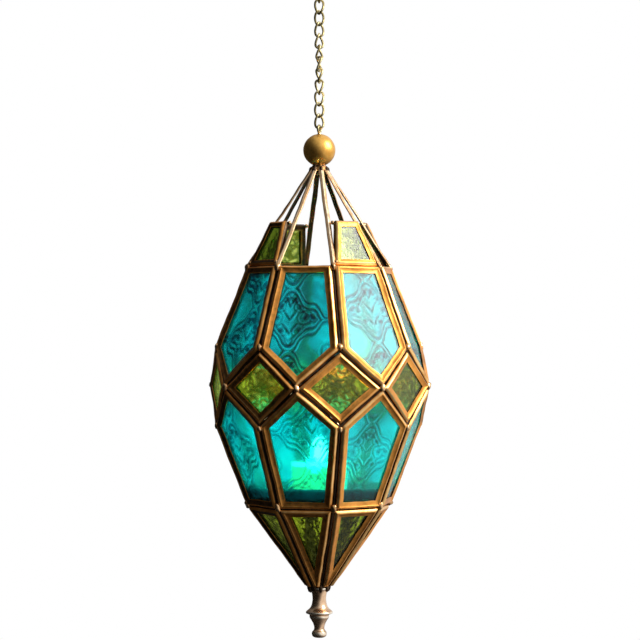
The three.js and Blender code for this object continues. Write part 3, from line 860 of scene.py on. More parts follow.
@dataclass(frozen=True)
class FrameRings:
    """The four rings of folded frames, one object for each frame."""

    material: bpy.types.Material
    bar: FoldedBar = field(default_factory=FoldedBar)
    # Painted shade: how strongly each ring's frames are darkened on their shaded sides, more on the lower rings.
    shade_and_grime: dict[Kind, float] = field(default_factory=lambda: {
        Kind.UPPER: 1.0, Kind.DIAMOND: 1.0, Kind.LOWER: 1.3, Kind.CONE: 1.6})
    # Painted shade on each side, darkest on the left and front-left sides, away from the key lamp.
    painted_shade_by_side: tuple[float, ...] = (0.0, 0.0, 0.08, 0.15, 0.3, 0.3, 0.1, 0.0)

    def build(self) -> None:
        """Makes all the frames of the body, some of them darker than others by painted shade, most on the left sides
        and on the lower rings.
        """
        for kind in Kind:
            points, faces, tone = self.bar.sweep(LAYOUT.outlines[kind])
            for at, turn in enumerate(LAYOUT.turns(kind), 1):
                placed = handmade(LAYOUT.facets[kind].place(points, turn))
                # Painted shade lowers the tone of the frames on the shaded sides, toward the dark colour.
                add_piece(f"{kind.value}_frame_{at:02d}", placed, faces, self.material,
                          Body.LANTERN.value, [f"{kind.value}_frame_ring"],
                          tone - self.shade_and_grime[kind] * self.painted_shade_by_side[at - 1])
            LOG.info("made the %s frames", kind.value)


def smooth_noise(x: np.ndarray, y: np.ndarray, seed: float) -> np.ndarray:
    """Returns smooth noise at rows of places in a plane."""
    return np.array([noise.noise(Vector((a, b, seed))) for a, b in zip(x, y)])


def ridge(distance: np.ndarray, width: float) -> np.ndarray:
    """Returns a smooth ridge of a given half width where a distance is 0."""
    return np.exp(-(distance / width) ** 2)


@dataclass(frozen=True)
class MedallionRelief:
    """Pressed ogee medallions with a doubled border, leaf veins on their axis and bosses beside it."""

    height: float = 0.3
    tint: float = 0.85
    half_width: float = 26.0
    half_height: float = 21.5
    scallop: float = 1.6
    border: float = 1.6
    line: float = 0.85
    vein_pitch: float = 9.6
    bosses: tuple[tuple[float, float, float], ...] = ((7.1, 9.1, 1.9), (9.8, 1.0, 2.2), (5.6, -7.4, 1.9),
                                                      (15.8, 0.6, 1.4), (3.1, 14.6, 1.2))

    def __call__(self, x: np.ndarray, y: np.ndarray, seed: int) -> np.ndarray:
        """Returns the relief's height at rows of places.

        Args:
            x: Places across the pane.
            y: Places up the pane.
            seed: Which cut of the sheet.

        Returns:
            Heights, from 0 on the plain ground to about 1.
        """
        across = x + 8.0 * math.sin(2.3 * seed + 4.1)
        up = y - 42.0 - 11.0 * math.sin(1.9 * seed - 0.44)
        u = np.abs(across + 0.9 * smooth_noise(x * 0.12, y * 0.12, 3.0 + seed))
        v = up + 0.9 * smooth_noise(x * 0.11 + 5, y * 0.11, 5.0 + seed)
        period = 2 * self.half_height + 1.5
        v = (v + period / 2) % period - period / 2
        share = np.clip(u / self.half_width, 0, 1)
        edge = self.half_height * (1 - share) ** 1.3 + self.scallop * np.sin(4 * math.pi * share)
        steep = self.half_height / self.half_width * 1.3 * (1 - share) ** 0.3
        away = (np.abs(v) - edge) / np.sqrt(1 + steep ** 2)
        relief = ridge(np.abs(away) - self.border, self.line) + 0.55 * ridge(away + 4.6, self.line)
        inside = 1 / (1 + np.exp((away + 2.6) / 0.5))
        vein = (v - 1.3 * u + self.vein_pitch / 2) % self.vein_pitch - self.vein_pitch / 2
        relief += 0.9 * inside * ridge(vein, 1.1) * np.exp(-(u / 5.0) ** 4)
        for boss_u, boss_v, radius in self.bosses:
            reach = np.hypot(u - boss_u, v - boss_v)
            relief += inside * (1.1 * ridge(reach, radius) + 0.5 * ridge(reach - 2.1 * radius, 0.55))
        corner = np.hypot(u - self.half_width, np.abs(v) - self.half_height)
        relief += 0.7 * ridge(corner - 4.2, 0.7) + 0.6 * ridge(corner, 1.6)
        return np.clip(relief, 0, 1.2)


@dataclass(frozen=True)
class HammeredRelief:
    """Glass hammered into shallow cells with raised, crackled rims."""

    height: float = 0.2
    tint: float = 0.8
    cell: float = 4.8

    def __call__(self, x: np.ndarray, y: np.ndarray, seed: int) -> np.ndarray:
        """Returns the relief's height at rows of places.

        Args:
            x: Places across the pane.
            y: Places up the pane.
            seed: Which casting of the pattern.

        Returns:
            Heights, from 0 in the middle of a cell to about 1 on the rims.
        """
        heights = np.empty_like(x)
        for at, (a, b) in enumerate(zip(x, y)):
            spot = Vector((a, b, 31.0 * seed)) / self.cell
            spot += noise.noise_vector(spot * 0.9) * 0.55
            distances, _ = noise.voronoi(spot)
            heights[at] = min(1.0, (distances[1] - distances[0]) * 1.5)
        ripple = smooth_noise(x * 0.5, y * 0.9, 2.0 + seed)
        return np.clip((1 - heights) ** 1.6 + 0.3 * ripple, 0, 1.2)


Relief = MedallionRelief | HammeredRelief


@dataclass(frozen=True)
class PaneMaker:
    """Makes closed panes, a little wavy, with their relief pressed into both faces."""

    grid: float = 0.6
    rim: float = 1.6
    sag: float = 0.06

    def lay(self, corners: np.ndarray) -> tuple[np.ndarray, np.ndarray, np.ndarray, list[int]]:
        """Fills a convex outline with a fine net of triangles.

        Args:
            corners: The outline, counter-clockwise.

        Returns:
            Places, triangles, each place's distance from the edge, and the places round the edge.
        """
        count = len(corners)
        edge_points: list[np.ndarray] = []
        for at in range(count):
            start, end = corners[at], corners[(at + 1) % count]
            steps = max(1, round(float(np.linalg.norm(end - start)) / self.grid))
            edge_points.extend(start + (end - start) * step / steps for step in range(steps))
        along = np.roll(corners, -1, axis=0) - corners
        along /= np.linalg.norm(along, axis=1)[:, None]
        inward = np.column_stack([-along[:, 1], along[:, 0]])

        def depth(places: np.ndarray) -> np.ndarray:
            reach = [(places - corners[at]) @ inward[at] for at in range(count)]
            return np.min(reach, axis=0)

        low, high = corners.min(axis=0), corners.max(axis=0)
        rise = self.grid * math.sqrt(3) / 2
        inside: list[tuple[float, float]] = []
        for row in range(int((high[1] - low[1]) / rise) + 1):
            shift = self.grid / 2 if row % 2 else 0.0
            span = np.arange(low[0] + shift, high[0], self.grid)
            inside.extend((float(x), float(low[1] + row * rise)) for x in span)
        net = np.array(inside)
        net = net[depth(net) > self.grid * 0.55]
        places = [Vector(point) for point in edge_points] + [Vector(point) for point in net]
        rim_edges = [(at, (at + 1) % len(edge_points)) for at in range(len(edge_points))]
        verts, _, triangles, origins, _, _ = delaunay_2d_cdt(places, rim_edges, [], 1, 1e-6)
        found = np.array([tuple(vert) for vert in verts])
        rim = [0] * len(edge_points)
        for at, sources in enumerate(origins):
            for source in sources:
                if source < len(edge_points):
                    rim[source] = at
        return found, np.array(triangles), depth(found), rim

    def shape(self, corners: np.ndarray, relief: Relief, seed: int,
              net: tuple[np.ndarray, np.ndarray, np.ndarray, list[int]], deepen: float
              ) -> tuple[np.ndarray, list[list[int]], np.ndarray]:
        """Presses the relief into both faces of a pane.

        Args:
            corners: The pane's outline.
            relief: The pressed pattern.
            seed: Which casting of it.
            net: The pane's triangles, from lay.
            deepen: How much deeper this pane's colour is; on the shaded sides of the lantern part of this is painted
                shade.

        Returns:
            Points in the facet's plane, faces, and each point's tone: how thick the glass is, plus the pane's
            deepening.
        """
        places, triangles, depth, rim = net
        fade = np.clip(depth / self.rim, 0, 1)
        pattern = relief(places[:, 0], places[:, 1] - corners[:, 1].min(), seed) * fade
        sag = smooth_noise(places[:, 0] * 0.09, places[:, 1] * 0.09, 40.0 + seed) * fade
        top = -SIZES.pane_front - 0.16 + self.sag * sag + 0.5 * relief.height * pattern
        bottom = -SIZES.pane_front - SIZES.pane_thickness + 0.2 - 0.6 * relief.height * pattern
        points = np.concatenate([np.column_stack([places, top]), np.column_stack([places, bottom])])
        count = len(places)
        faces = [list(map(int, triangle)) for triangle in triangles]
        faces += [[int(at) + count for at in triangle[::-1]] for triangle in triangles]
        faces += [[rim[at], rim[at] + count, rim[(at + 1) % len(rim)] + count, rim[(at + 1) % len(rim)]]
                  for at in range(len(rim))]
        return points, faces, np.tile(np.clip(pattern * relief.tint + deepen, 0, 1), 2)


@dataclass(frozen=True)
class BodyPanes:
    """The thirty-two panes of the body."""

    turquoise: bpy.types.Material
    olive: bpy.types.Material
    maker: PaneMaker = field(default_factory=PaneMaker)
    depths: dict[Kind, float] = field(default_factory=lambda: {
        Kind.UPPER: -0.08, Kind.DIAMOND: -0.12, Kind.LOWER: -0.16, Kind.CONE: -0.1})
    # The lower panes' relief has a weaker tint: paler glass that is painted light, standing for the flame's light
    # washing through them.
    reliefs: dict[Kind, Relief] = field(default_factory=lambda: {
        Kind.UPPER: MedallionRelief(), Kind.DIAMOND: HammeredRelief(),
        Kind.LOWER: MedallionRelief(height=0.2, tint=0.65), Kind.CONE: HammeredRelief()})
    # Painted shade on each side's panes: deepest on the left and front-left sides, paler on the front right.
    sides: tuple[float, ...] = (0.08, 0.0, 0.1, 0.05, 0.2, 0.24, 0.0, -0.1)
    lower_cut: int = 4

    def corners(self, kind: Kind) -> np.ndarray:
        """Returns a pane's outline in its frame's groove."""
        inset = SIZES.frame_web + SIZES.clearance
        corners = LAYOUT.outlines[kind].corners(inset)
        if kind is Kind.CONE:
            left, right, top_right, top_left = corners
            share = (SIZES.cone_pane_foot - left[1]) / (top_left[1] - left[1])
            foot = [left + (top_left - left) * share, right + (top_right - right) * share]
            corners = np.array([foot[0], foot[1], top_right, top_left])
        return corners

    def build(self) -> None:
        """Makes every pane of the body, each with its own casting of the relief, the panes on the left deeper in colour
        as painted shade.
        """
        for kind in Kind:
            turquoise = kind in (Kind.UPPER, Kind.LOWER)
            material, slot = (self.turquoise, Slot.TURQUOISE_GLASS) if turquoise else (self.olive, Slot.OLIVE_GLASS)
            corners = self.corners(kind)
            net = self.maker.lay(corners)
            for at, turn in enumerate(LAYOUT.turns(kind), 1):
                seed = at + (self.lower_cut if kind is Kind.LOWER else 0)
                # Each kind's depth, plus its side's painted shade, three tenths as strong on the olive glass.
                deepen = self.depths[kind] + self.sides[at - 1] * (1.0 if turquoise else 0.3)
                points, faces, thick = self.maker.shape(corners, self.reliefs[kind], seed, net, deepen)
                name = f"{kind.value}_pane_{at:02d}"
                placed = LAYOUT.facets[kind].place(points, turn)
                add_piece(f"pressed_{name}", placed, faces, material, Body.LANTERN.value, [name], thick,
                          math.radians(60))
            LOG.info("made the %s panes", kind.value)


def sweep_wire(path: np.ndarray, radius: float, closed: bool, sides: int = 14,
               swell: Callable[[int], float] = lambda step: 1.0) -> Shape:
    """Runs a round wire along a path.

    Args:
        path: Rows of points.
        radius: The wire's radius.
        closed: Whether the path returns to its start.
        sides: Points round the wire.
        swell: How thick the wire is at each step, as a share.

    Returns:
        Points and faces.
    """
    count = len(path)
    if closed:
        ahead = np.roll(path, -1, axis=0) - np.roll(path, 1, axis=0)
    else:
        ahead = np.gradient(path, axis=0)
    ahead /= np.linalg.norm(ahead, axis=1)[:, None]
    normal = np.cross(ahead[0], (0.3, 0.5, 0.81))
    normal /= np.linalg.norm(normal)
    points = []
    normals = []
    for step in range(count):
        normal = normal - ahead[step] * (normal @ ahead[step])
        normal /= np.linalg.norm(normal)
        normals.append(normal)
    if closed:
        across = np.cross(ahead[0], normals[0])
        last = normals[-1] - ahead[0] * (normals[-1] @ ahead[0])
        drift = math.atan2(last @ across, last @ normals[0])
    else:
        drift = 0.0
    for step in range(count):
        binormal = np.cross(ahead[step], normals[step])
        undo = -drift * step / count
        for side in range(sides):
            angle = 2 * math.pi * side / sides + undo
            offset = normals[step] * math.cos(angle) + binormal * math.sin(angle)
            points.append(path[step] + offset * radius * swell(step))
    return np.array(points), tube(count, sides, closed, not closed)


def turn_profile(profile: Sequence[Point], segments: int = 72) -> Shape:
    """Turns a profile round the axis. A closed profile gives a ring; an open one starts and ends on the axis.

    Args:
        profile: Radius and height, in order.
        segments: Steps round the axis.

    Returns:
        Points and faces.
    """
    angles = np.arange(segments) * 2 * math.pi / segments
    points = [(radius * math.cos(angle), radius * math.sin(angle), height)
              for radius, height in profile for angle in angles]
    return np.array(points), tube(len(profile), segments, capped=profile[0] != profile[-1])


def smooth_profile(points: Sequence[Point], steps: int = 6) -> list[Point]:
    """Runs a smooth curve through a profile's points; a point given twice stays sharp.

    Args:
        points: The points.
        steps: Steps between two points.

    Returns:
        The finer profile.
    """
    finer: list[Point] = []
    padded = [points[0], *points, points[-1]]
    for at in range(1, len(padded) - 2):
        before, start, end, after = (np.array(padded[at + offset]) for offset in (-1, 0, 1, 2))
        if np.allclose(start, end):
            continue
        for step in range(steps):
            t = step / steps
            curve = 0.5 * ((2 * start) + (end - before) * t + (2 * before - 5 * start + 4 * end - after) * t ** 2
                           + (3 * start - before - 3 * end + after) * t ** 3)
            finer.append((max(float(curve[0]), 0.01), float(curve[1])))
    finer.append(points[-1])
    return finer


def blob(centre: np.ndarray, radius: float, seed: float, stretch: np.ndarray | None = None,
         rows: int = 9, columns: int = 14) -> Shape:
    """Makes one lump of solder, round but uneven.

    Args:
        centre: Where it sits.
        radius: Its mean radius.
        seed: Which lump.
        stretch: A direction and length to draw it out by.
        rows: Rings from top to bottom.
        columns: Points round each ring.

    Returns:
        Points and faces.
    """
    points: list[np.ndarray] = []
    directions = [Vector((0, 0, 1))]
    for row in range(1, rows):
        polar = math.pi * row / rows
        for column in range(columns):
            angle = 2 * math.pi * column / columns
            directions.append(Vector((math.sin(polar) * math.cos(angle), math.sin(polar) * math.sin(angle),
                                      math.cos(polar))))
    directions.append(Vector((0, 0, -1)))
    for direction in directions:
        swell = 1 + 0.34 * noise.noise(direction * 1.3 + Vector((seed * 3.7, 1.0, 2.0)))
        swell += 0.12 * noise.noise(direction * 3.1 + Vector((seed * 1.9, 5.0, 2.0)))
        spot = centre + np.array(direction) * radius * swell
        if stretch is not None:
            reach = float(np.array(direction) @ stretch) / float(stretch @ stretch) ** 0.5
            spot = spot + stretch * reach
        points.append(spot)
    last = len(points) - 1
    faces: list[Face] = [(0, 1 + at, 1 + (at + 1) % columns) for at in range(columns)]
    for row in range(rows - 2):
        low, high = 1 + row * columns, 1 + (row + 1) * columns
        faces += [(low + at, high + at, high + (at + 1) % columns, low + (at + 1) % columns)
                  for at in range(columns)]
    low = 1 + (rows - 2) * columns
    faces += [(last, low + (at + 1) % columns, low + at) for at in range(columns)]
    return np.array(points), faces


def gather(shapes: Iterable[Shape]) -> Shape:
    """Puts several shapes into one list of points and faces."""
    points: list[np.ndarray] = []
    faces: list[Face] = []
    start = 0
    for shape_points, shape_faces in shapes:
        points.append(shape_points)
        faces += [tuple(corner + start for corner in face) for face in shape_faces]
        start += len(shape_points)
    return np.concatenate(points), faces


def turned_about(points: np.ndarray, angle: float) -> np.ndarray:
    """Turns points round the lantern's axis."""
    cos, sin = math.cos(angle), math.sin(angle)
    return np.column_stack([points[:, 0] * cos - points[:, 1] * sin,
                            points[:, 0] * sin + points[:, 1] * cos, points[:, 2]])


@dataclass(frozen=True)
class Crown:
    """Eight folded legs, the cap that they meet in, and four small frames with their panes."""

    material: bpy.types.Material
    rubbed: bpy.types.Material
    glass: bpy.types.Material
    leg_flange: float = 2.0
    leg_width: float = 1.9
    leg_thickness: float = 0.9
    leg_top_radius: float = 5.0
    leg_top_drop: float = 0.6
    cap_radius: float = 5.9
    cap_thickness: float = 4.0
    cap_top: float = 149.6
    cap_bore: float = 1.5
    head_room: float = 3.5
    pane_height: float = 30.0
    top_stand_off: float = 6.3
    frame_face: float = 4.2
    pane_sides: tuple[int, ...] = (1, 3, 5, 7)
    # Painted shade on each small frame, darkest on the front left, none on the front right.
    painted_shade_by_frame: tuple[float, ...] = (0.05, 0.2, 0.4, 0.0)
    # Painted shade on each small pane: deepest on the front left, paler on the front right.
    pane_painted_shade: tuple[float, ...] = (0.2, 0.25, 1.0, -0.15)

    @property
    def leg_top(self) -> float:
        """The height of a leg's outer end."""
        return self.cap_top - self.leg_top_drop

    def leg_radius(self, height: float) -> float:
        """Returns how far a leg's ridge is from the axis at a height."""
        share = (height - SIZES.ring_height) / (self.leg_top - SIZES.ring_height)
        return SIZES.ring_radius + (self.leg_top_radius - SIZES.ring_radius) * share

    def leg(self) -> tuple[np.ndarray, list[Face], np.ndarray]:
        """Makes one leg on the X axis, a strip with a rounded fold.

        Returns:
            Points, faces and tone.
        """
        foot = np.array([SIZES.ring_radius, 0.0, SIZES.ring_height])
        head = np.array([self.leg_top_radius, 0.0, self.leg_top])
        along = (head - foot) / np.linalg.norm(head - foot)
        out = np.cross(along, (0.0, 1.0, 0.0))
        out *= np.sign(out[0])
        half = STEP / 2
        flange, thick = self.leg_width, self.leg_thickness
        side, back = flange * math.cos(half), flange * math.sin(half)
        right = [(0.0, 0.02, 0.7), (0.24, -0.03, 0.6), (0.6, -0.22, 0.15), (side * 0.7, -back * 0.78, 0.0),
                 (side - 0.12, -back + 0.03, 0.2), (side, -back - 0.22, 0.3), (side - 0.05, -back - thick + 0.1, -0.2),
                 (side - 0.3, -back - thick + 0.02, -0.5), (0.5, -thick - 0.22, -0.6), (0.0, -thick - 0.1, -0.6)]
        section = right + [(-x, depth, rub) for x, depth, rub in right[-2:0:-1]]
        steps = 44
        start, end = foot - along * 1.2, head + along * 1.4
        points, tone = [], []
        for step in range(steps + 1):
            centre = start + (end - start) * step / steps
            for x, depth, rub in section:
                points.append(centre + np.array([0.0, x, 0.0]) + out * depth)
                tone.append(rub)
        count = len(section)
        faces: list[Face] = [
            (row * count + at, (row + 1) * count + at, (row + 1) * count + (at + 1) % count,
             row * count + (at + 1) % count) for row in range(steps) for at in range(count)]
        faces.append(tuple(range(count)))
        faces.append(tuple(steps * count + at for at in range(count))[::-1])
        return np.array(points), faces, np.array(tone)

    def cap(self) -> Shape:
        """Makes the cap, a short turned collar with a rounded rim and its bore."""
        low = self.cap_top - self.cap_thickness
        radius = self.cap_radius
        return turn_profile([
            (self.head_room, low), (radius - 1.2, low), (radius - 0.5, low + 0.12), (radius - 0.08, low + 0.5),
            (radius, low + 1.1), (radius - 0.12, low + 1.6), (radius - 0.5, low + 2.1),
            (radius - 0.75, low + 2.7), (radius - 1.0, self.cap_top - 0.4), (radius - 1.4, self.cap_top - 0.08),
            (radius - 2.0, self.cap_top), (self.cap_bore, self.cap_top), (self.cap_bore, low + 0.02),
            (self.head_room, low)], 56)

    def build(self) -> None:
        """Makes the crown's pieces."""
        points, faces, tone = self.leg()
        for leg in range(SIDES):
            name = f"crown_leg_{leg + 1:02d}"
            placed = handmade(turned_about(points, STEP / 2 + leg * STEP))
            add_piece(name, placed, faces, self.rubbed, Body.LANTERN.value, ["crown"], tone,
                      math.radians(50))
        cap_points, cap_faces = self.cap()
        # Painted shade under the ball: the cap's tone below 0 darkens it, less at its outer rim.
        rub = np.where(np.hypot(cap_points[:, 0], cap_points[:, 1]) > self.cap_radius - 0.9, -0.2, -0.8)
        add_piece("crown_cap", cap_points, cap_faces, self.material, Body.LANTERN.value,
                  ["crown"], rub)
        self.build_frames()
        LOG.info("made the crown")

    def build_frames(self) -> None:
        """Makes the four small frames and their panes."""
        ring_seam = LAYOUT.outlines[Kind.UPPER].insets[2]
        foot = SIZES.ring_height - ring_seam * LAYOUT.facets[Kind.UPPER].up.z + SIZES.clearance
        top = foot + self.pane_height
        facet = Facet((SIZES.ring_apothem, foot), (self.leg_radius(top) * FLAT + self.top_stand_off, top))
        gap = self.leg_flange + SIZES.clearance
        low_half, high_half = self.leg_radius(foot) * SPREAD - gap, self.leg_radius(top) * SPREAD - gap
        outline = Outline([(-low_half, 0), (low_half, 0), (high_half, facet.length), (-high_half, facet.length)],
                          [0.0] * 4)
        bar = FoldedBar(face=self.frame_face, ridge=0.3)
        points, faces, tone = bar.sweep(outline)
        corners = outline.corners(SIZES.frame_web + SIZES.clearance)
        maker = PaneMaker(grid=0.6)
        net = maker.lay(corners)
        # The frames' tone is lowered and the panes deepened by painted shade on the left.
        for at, (side, depth, shade_and_grime) in enumerate(zip(self.pane_sides, self.pane_painted_shade, self.painted_shade_by_frame), 1):
            placed = handmade(facet.place(points, side * STEP))
            add_piece(f"crown_frame_{at:02d}", placed, faces, self.material,
                      Body.LANTERN.value, ["crown"], tone - shade_and_grime)
            pane_points, pane_faces, thick = maker.shape(corners, HammeredRelief(), at + 20, net, depth)
            add_piece(f"hammered_crown_pane_{at:02d}", facet.place(pane_points, side * STEP), pane_faces,
                      self.glass, Body.LANTERN.value, [f"crown_pane_{at:02d}"], thick,
                      math.radians(60))


@dataclass(frozen=True)
class BallAndFinial:
    """The ball on top of the crown and the turned finial under the cone."""

    gold: bpy.types.Material
    brass: bpy.types.Material
    ball_radius: float = 11.0
    ball_flat: float = 0.9
    ball_bore: float = 1.5
    ball_foot: float = 149.9
    finial_top: float = -137.3

    def ball(self) -> Shape:
        """Makes the ball, slightly dented, with a softened rim round its bore."""
        radius, bore = self.ball_radius, self.ball_bore
        centre = self.ball_foot + radius - self.ball_flat
        start = -math.pi / 2 + math.acos((radius - self.ball_flat) / radius)
        end = math.pi / 2 - math.asin((bore + 0.5) / radius)
        steps = 46
        arc = [(radius * math.cos(start + (end - start) * step / steps),
                centre + radius * math.sin(start + (end - start) * step / steps)) for step in range(steps + 1)]
        top = arc[-1][1]
        profile = [(bore, self.ball_foot), *arc, (bore + 0.18, top - 0.02), (bore, top - 0.3), (bore, self.ball_foot)]
        points, faces = turn_profile(profile, 96)
        for row, point in enumerate(points):
            if math.hypot(point[0], point[1]) > bore + 0.3:
                dent = noise.noise(Vector(point) * 0.16) * 0.14 + noise.noise(Vector(point) * 0.55) * 0.04
                outward = point - np.array([0, 0, centre])
                points[row] = point + outward / np.linalg.norm(outward) * (dent - 0.05)
        return points, faces

    def finial(self) -> tuple[np.ndarray, list[Face], np.ndarray]:
        """Makes the finial: a spread head, a neck, a sharp collar, a bead, a waist and a knob."""
        top = self.finial_top
        drops = [(2.0, -6.0), (2.0, -6.0), (2.0, 0.0), (2.0, 0.0), (5.9, 0.0), (6.4, 0.35), (6.3, 1.0), (5.6, 2.2),
                 (4.9, 4.6), (4.6, 7.4), (4.75, 9.4), (5.3, 12.0), (6.4, 14.0), (8.3, 15.7), (8.3, 15.7),
                 (9.05, 16.5), (9.1, 17.1), (8.8, 17.6), (7.2, 18.2), (6.6, 18.7), (6.6, 18.7), (6.65, 19.6),
                 (6.45, 20.5), (5.4, 22.2), (4.2, 24.4), (3.55, 26.6), (3.5, 28.0), (3.9, 29.0), (4.7, 29.9),
                 (5.1, 31.1), (4.95, 32.3), (4.2, 33.4), (2.6, 34.05), (0.4, 34.2)]
        fine = smooth_profile([(radius, top - drop) for radius, drop in drops], 5)
        points, faces = turn_profile([(0.05, top + 6.0), *fine], 80)
        radii = np.hypot(points[:, 0], points[:, 1])
        crest = np.exp(-((points[:, 2] - (top - 17.0)) / 0.9) ** 2) + np.exp(-((points[:, 2] - (top - 0.6)) / 0.8) ** 2)
        bead = np.exp(-((points[:, 2] - (top - 19.8)) / 0.8) ** 2) + np.exp(-((points[:, 2] - (top - 31.3)) / 1.4) ** 2)
        tone = np.clip(0.15 + 0.85 * (crest + 0.7 * bead) * (radii > 4), 0, 1)
        return points, faces, tone

    def build(self) -> None:
        """Makes both pieces."""
        points, faces = self.ball()
        add_piece("gold_ball", points, faces, self.gold, Body.LANTERN.value, ["ball"],
                  np.full(len(points), 0.2))
        points, faces, tone = self.finial()
        add_piece("turned_finial", points, faces, self.brass, Body.LANTERN.value,
                  ["finial"], tone)
        LOG.info("made the ball and the finial")


@dataclass(frozen=True)
class Chain:
    """The twisted links, the hook above them and the eye pin below. Heights are from the hook's crest."""

    material: bpy.types.Material
    count: int = 12
    wire_radius: float = 0.78
    half_width: float = 2.92
    half_length: float = 4.83
    link_twist: float = math.pi / 4
    chain_twist: float = math.pi / 8
    first_yaw: float = math.radians(-33.7)
    clearance: float = SIZES.clearance
    hook_inner_radius: float = 8.0
    hook_wire_radius: float = 1.2
    hook_shank: float = 5.0
    hook_eye_radius: float = 3.2
    hook_mouth: float = math.radians(205)
    hook_neck: float = math.radians(-48)
    eye_radius: float = 2.3
    eye_wire_radius: float = 0.85
    pin_radius: float = 1.2
    pin_head_radius: float = 3.2
    pin_head_thickness: float = 2.0
    pin_head_top: float = 145.3

    @property
    def pitch(self) -> float:
        """From one link's middle to the next."""
        return 2 * self.half_length - 2 * self.wire_radius - self.clearance

    @property
    def hook_eye_centre(self) -> float:
        """The height of the eye under the hook."""
        bend = self.hook_inner_radius + self.hook_wire_radius
        return -self.hook_inner_radius - bend - self.hook_shank - self.hook_eye_radius

    @property
    def first_top(self) -> float:
        """The top of the first link's centreline."""
        low = self.hook_eye_centre - self.hook_eye_radius
        return low + self.hook_wire_radius + self.wire_radius + self.clearance

    def link_path(self, centre: float, yaw: float, seed: int) -> np.ndarray:
        """Returns a link's centreline: a long ring whose ends are twisted across each other.

        Args:
            centre: The height of its middle.
            yaw: Its turn round the axis.
            seed: Which link, for its small unevenness.

        Returns:
            Rows of points.
        """
        steps = 64
        straight, drawn = self.half_length - self.half_width, self.half_width / 2
        path = []
        for step in range(steps):
            angle = 2 * math.pi * step / steps
            x, z = self.half_width * math.cos(angle), self.half_width * math.sin(angle)
            share = z / drawn
            z += straight * (share / (1 + abs(share) ** 5) ** 0.2)
            turn = self.link_twist * max(-1.0, min(1.0, z / self.half_length)) + yaw
            uneven = 1 + 0.018 * math.sin(2 * angle + seed * 1.7)
            path.append((x * math.cos(turn) * uneven, x * math.sin(turn) * uneven, z + centre))
        return np.array(path)

    def raise_up(self, points: np.ndarray) -> np.ndarray:
        """Moves points from heights under the hook's crest to heights over the equator."""
        return points - np.array([0.0, 0.0, EQUATOR / MM])

    def build(self) -> None:
        """Makes the links, the hook and the eye pin."""
        for link in range(self.count):
            centre = self.first_top - self.half_length - link * self.pitch
            yaw = self.first_yaw + link * self.chain_twist
            path = self.link_path(centre, yaw, link)
            points, faces = sweep_wire(path, self.wire_radius, True)
            ends = np.abs(points[:, 2] - centre) / (self.half_length + self.wire_radius)
            name = f"link_{link + 1:02d}"
            add_piece(f"wire_{name}", self.raise_up(points), faces, self.material, name,
                      [f"chain_{name}"], np.clip((ends - 0.3) * 1.1, 0, 1), math.radians(60))
        LOG.info("made %d links", self.count)
        self.build_hook()
        self.build_pin()

    def build_hook(self) -> None:
        """Makes the open hook with its closed eye."""
        bend = self.hook_inner_radius + self.hook_wire_radius
        steps = 40
        arc = []
        for step in range(steps + 1):
            angle = self.hook_mouth + (self.hook_neck - self.hook_mouth) * step / steps
            arc.append((bend * math.cos(angle), 0.0, -self.hook_inner_radius + bend * math.sin(angle)))
        shank_top = -self.hook_inner_radius - bend
        tail = [(0.0, 0.0, shank_top - self.hook_shank / 2), (0.0, 0.0, shank_top - self.hook_shank)]
        last = np.array(arc[-1])
        joint = [tuple(last * (1 - share) ** 2 + np.array((2.2, 0.0, shank_top + 1.2)) * 2 * share * (1 - share)
                       + np.array(tail[0]) * share ** 2) for share in (0.25, 0.5, 0.75)]
        path = np.array([*arc, *joint, *tail])
        wire = sweep_wire(path, self.hook_wire_radius, False, 18)
        ring = upright_ring(self.hook_eye_radius, self.hook_eye_centre)
        points, faces = gather([wire, sweep_wire(ring, self.hook_wire_radius, True, 18)])
        yaw = self.first_yaw + self.link_twist + math.pi / 2
        add_piece("wire_hook", self.raise_up(turned_about(points, yaw)), faces, self.material,
                  Body.HOOK.value, ["top_hook"], np.full(len(points), 0.35), math.radians(60))
        LOG.info("made the hook")

    def build_pin(self) -> None:
        """Makes the eye pin: a wire eye, a shank through the ball and a round head under the cap."""
        last_low = self.first_top - (self.count - 1) * self.pitch - 2 * self.half_length
        eye_centre = last_low + self.wire_radius + self.eye_wire_radius + self.clearance - self.eye_radius
        centre = eye_centre - EQUATOR / MM
        ring = upright_ring(self.eye_radius, centre)
        head_low = self.pin_head_top - self.pin_head_thickness
        head = self.pin_head_radius
        shank = turn_profile([
            (0.05, head_low), (head - 0.5, head_low), (head - 0.1, head_low + 0.3), (head, head_low + 0.8),
            (head - 0.1, self.pin_head_top - 0.25), (head - 0.4, self.pin_head_top),
            (self.pin_radius, self.pin_head_top),
            (self.pin_radius, centre - self.eye_radius - 0.5), (self.pin_radius * 0.8, centre - self.eye_radius),
            (0.05, centre - self.eye_radius + 0.1)], 32)
        points, faces = gather([sweep_wire(ring, self.eye_wire_radius, True, 16), shank])
        last_yaw = self.first_yaw + (self.count - 1) * self.chain_twist - self.link_twist
        add_piece("wire_eye_pin", turned_about(points, last_yaw + math.pi / 2), faces, self.material,
                  Body.PIN.value, ["eye_pin"], np.full(len(points), 0.4))
        LOG.info("made the eye pin")


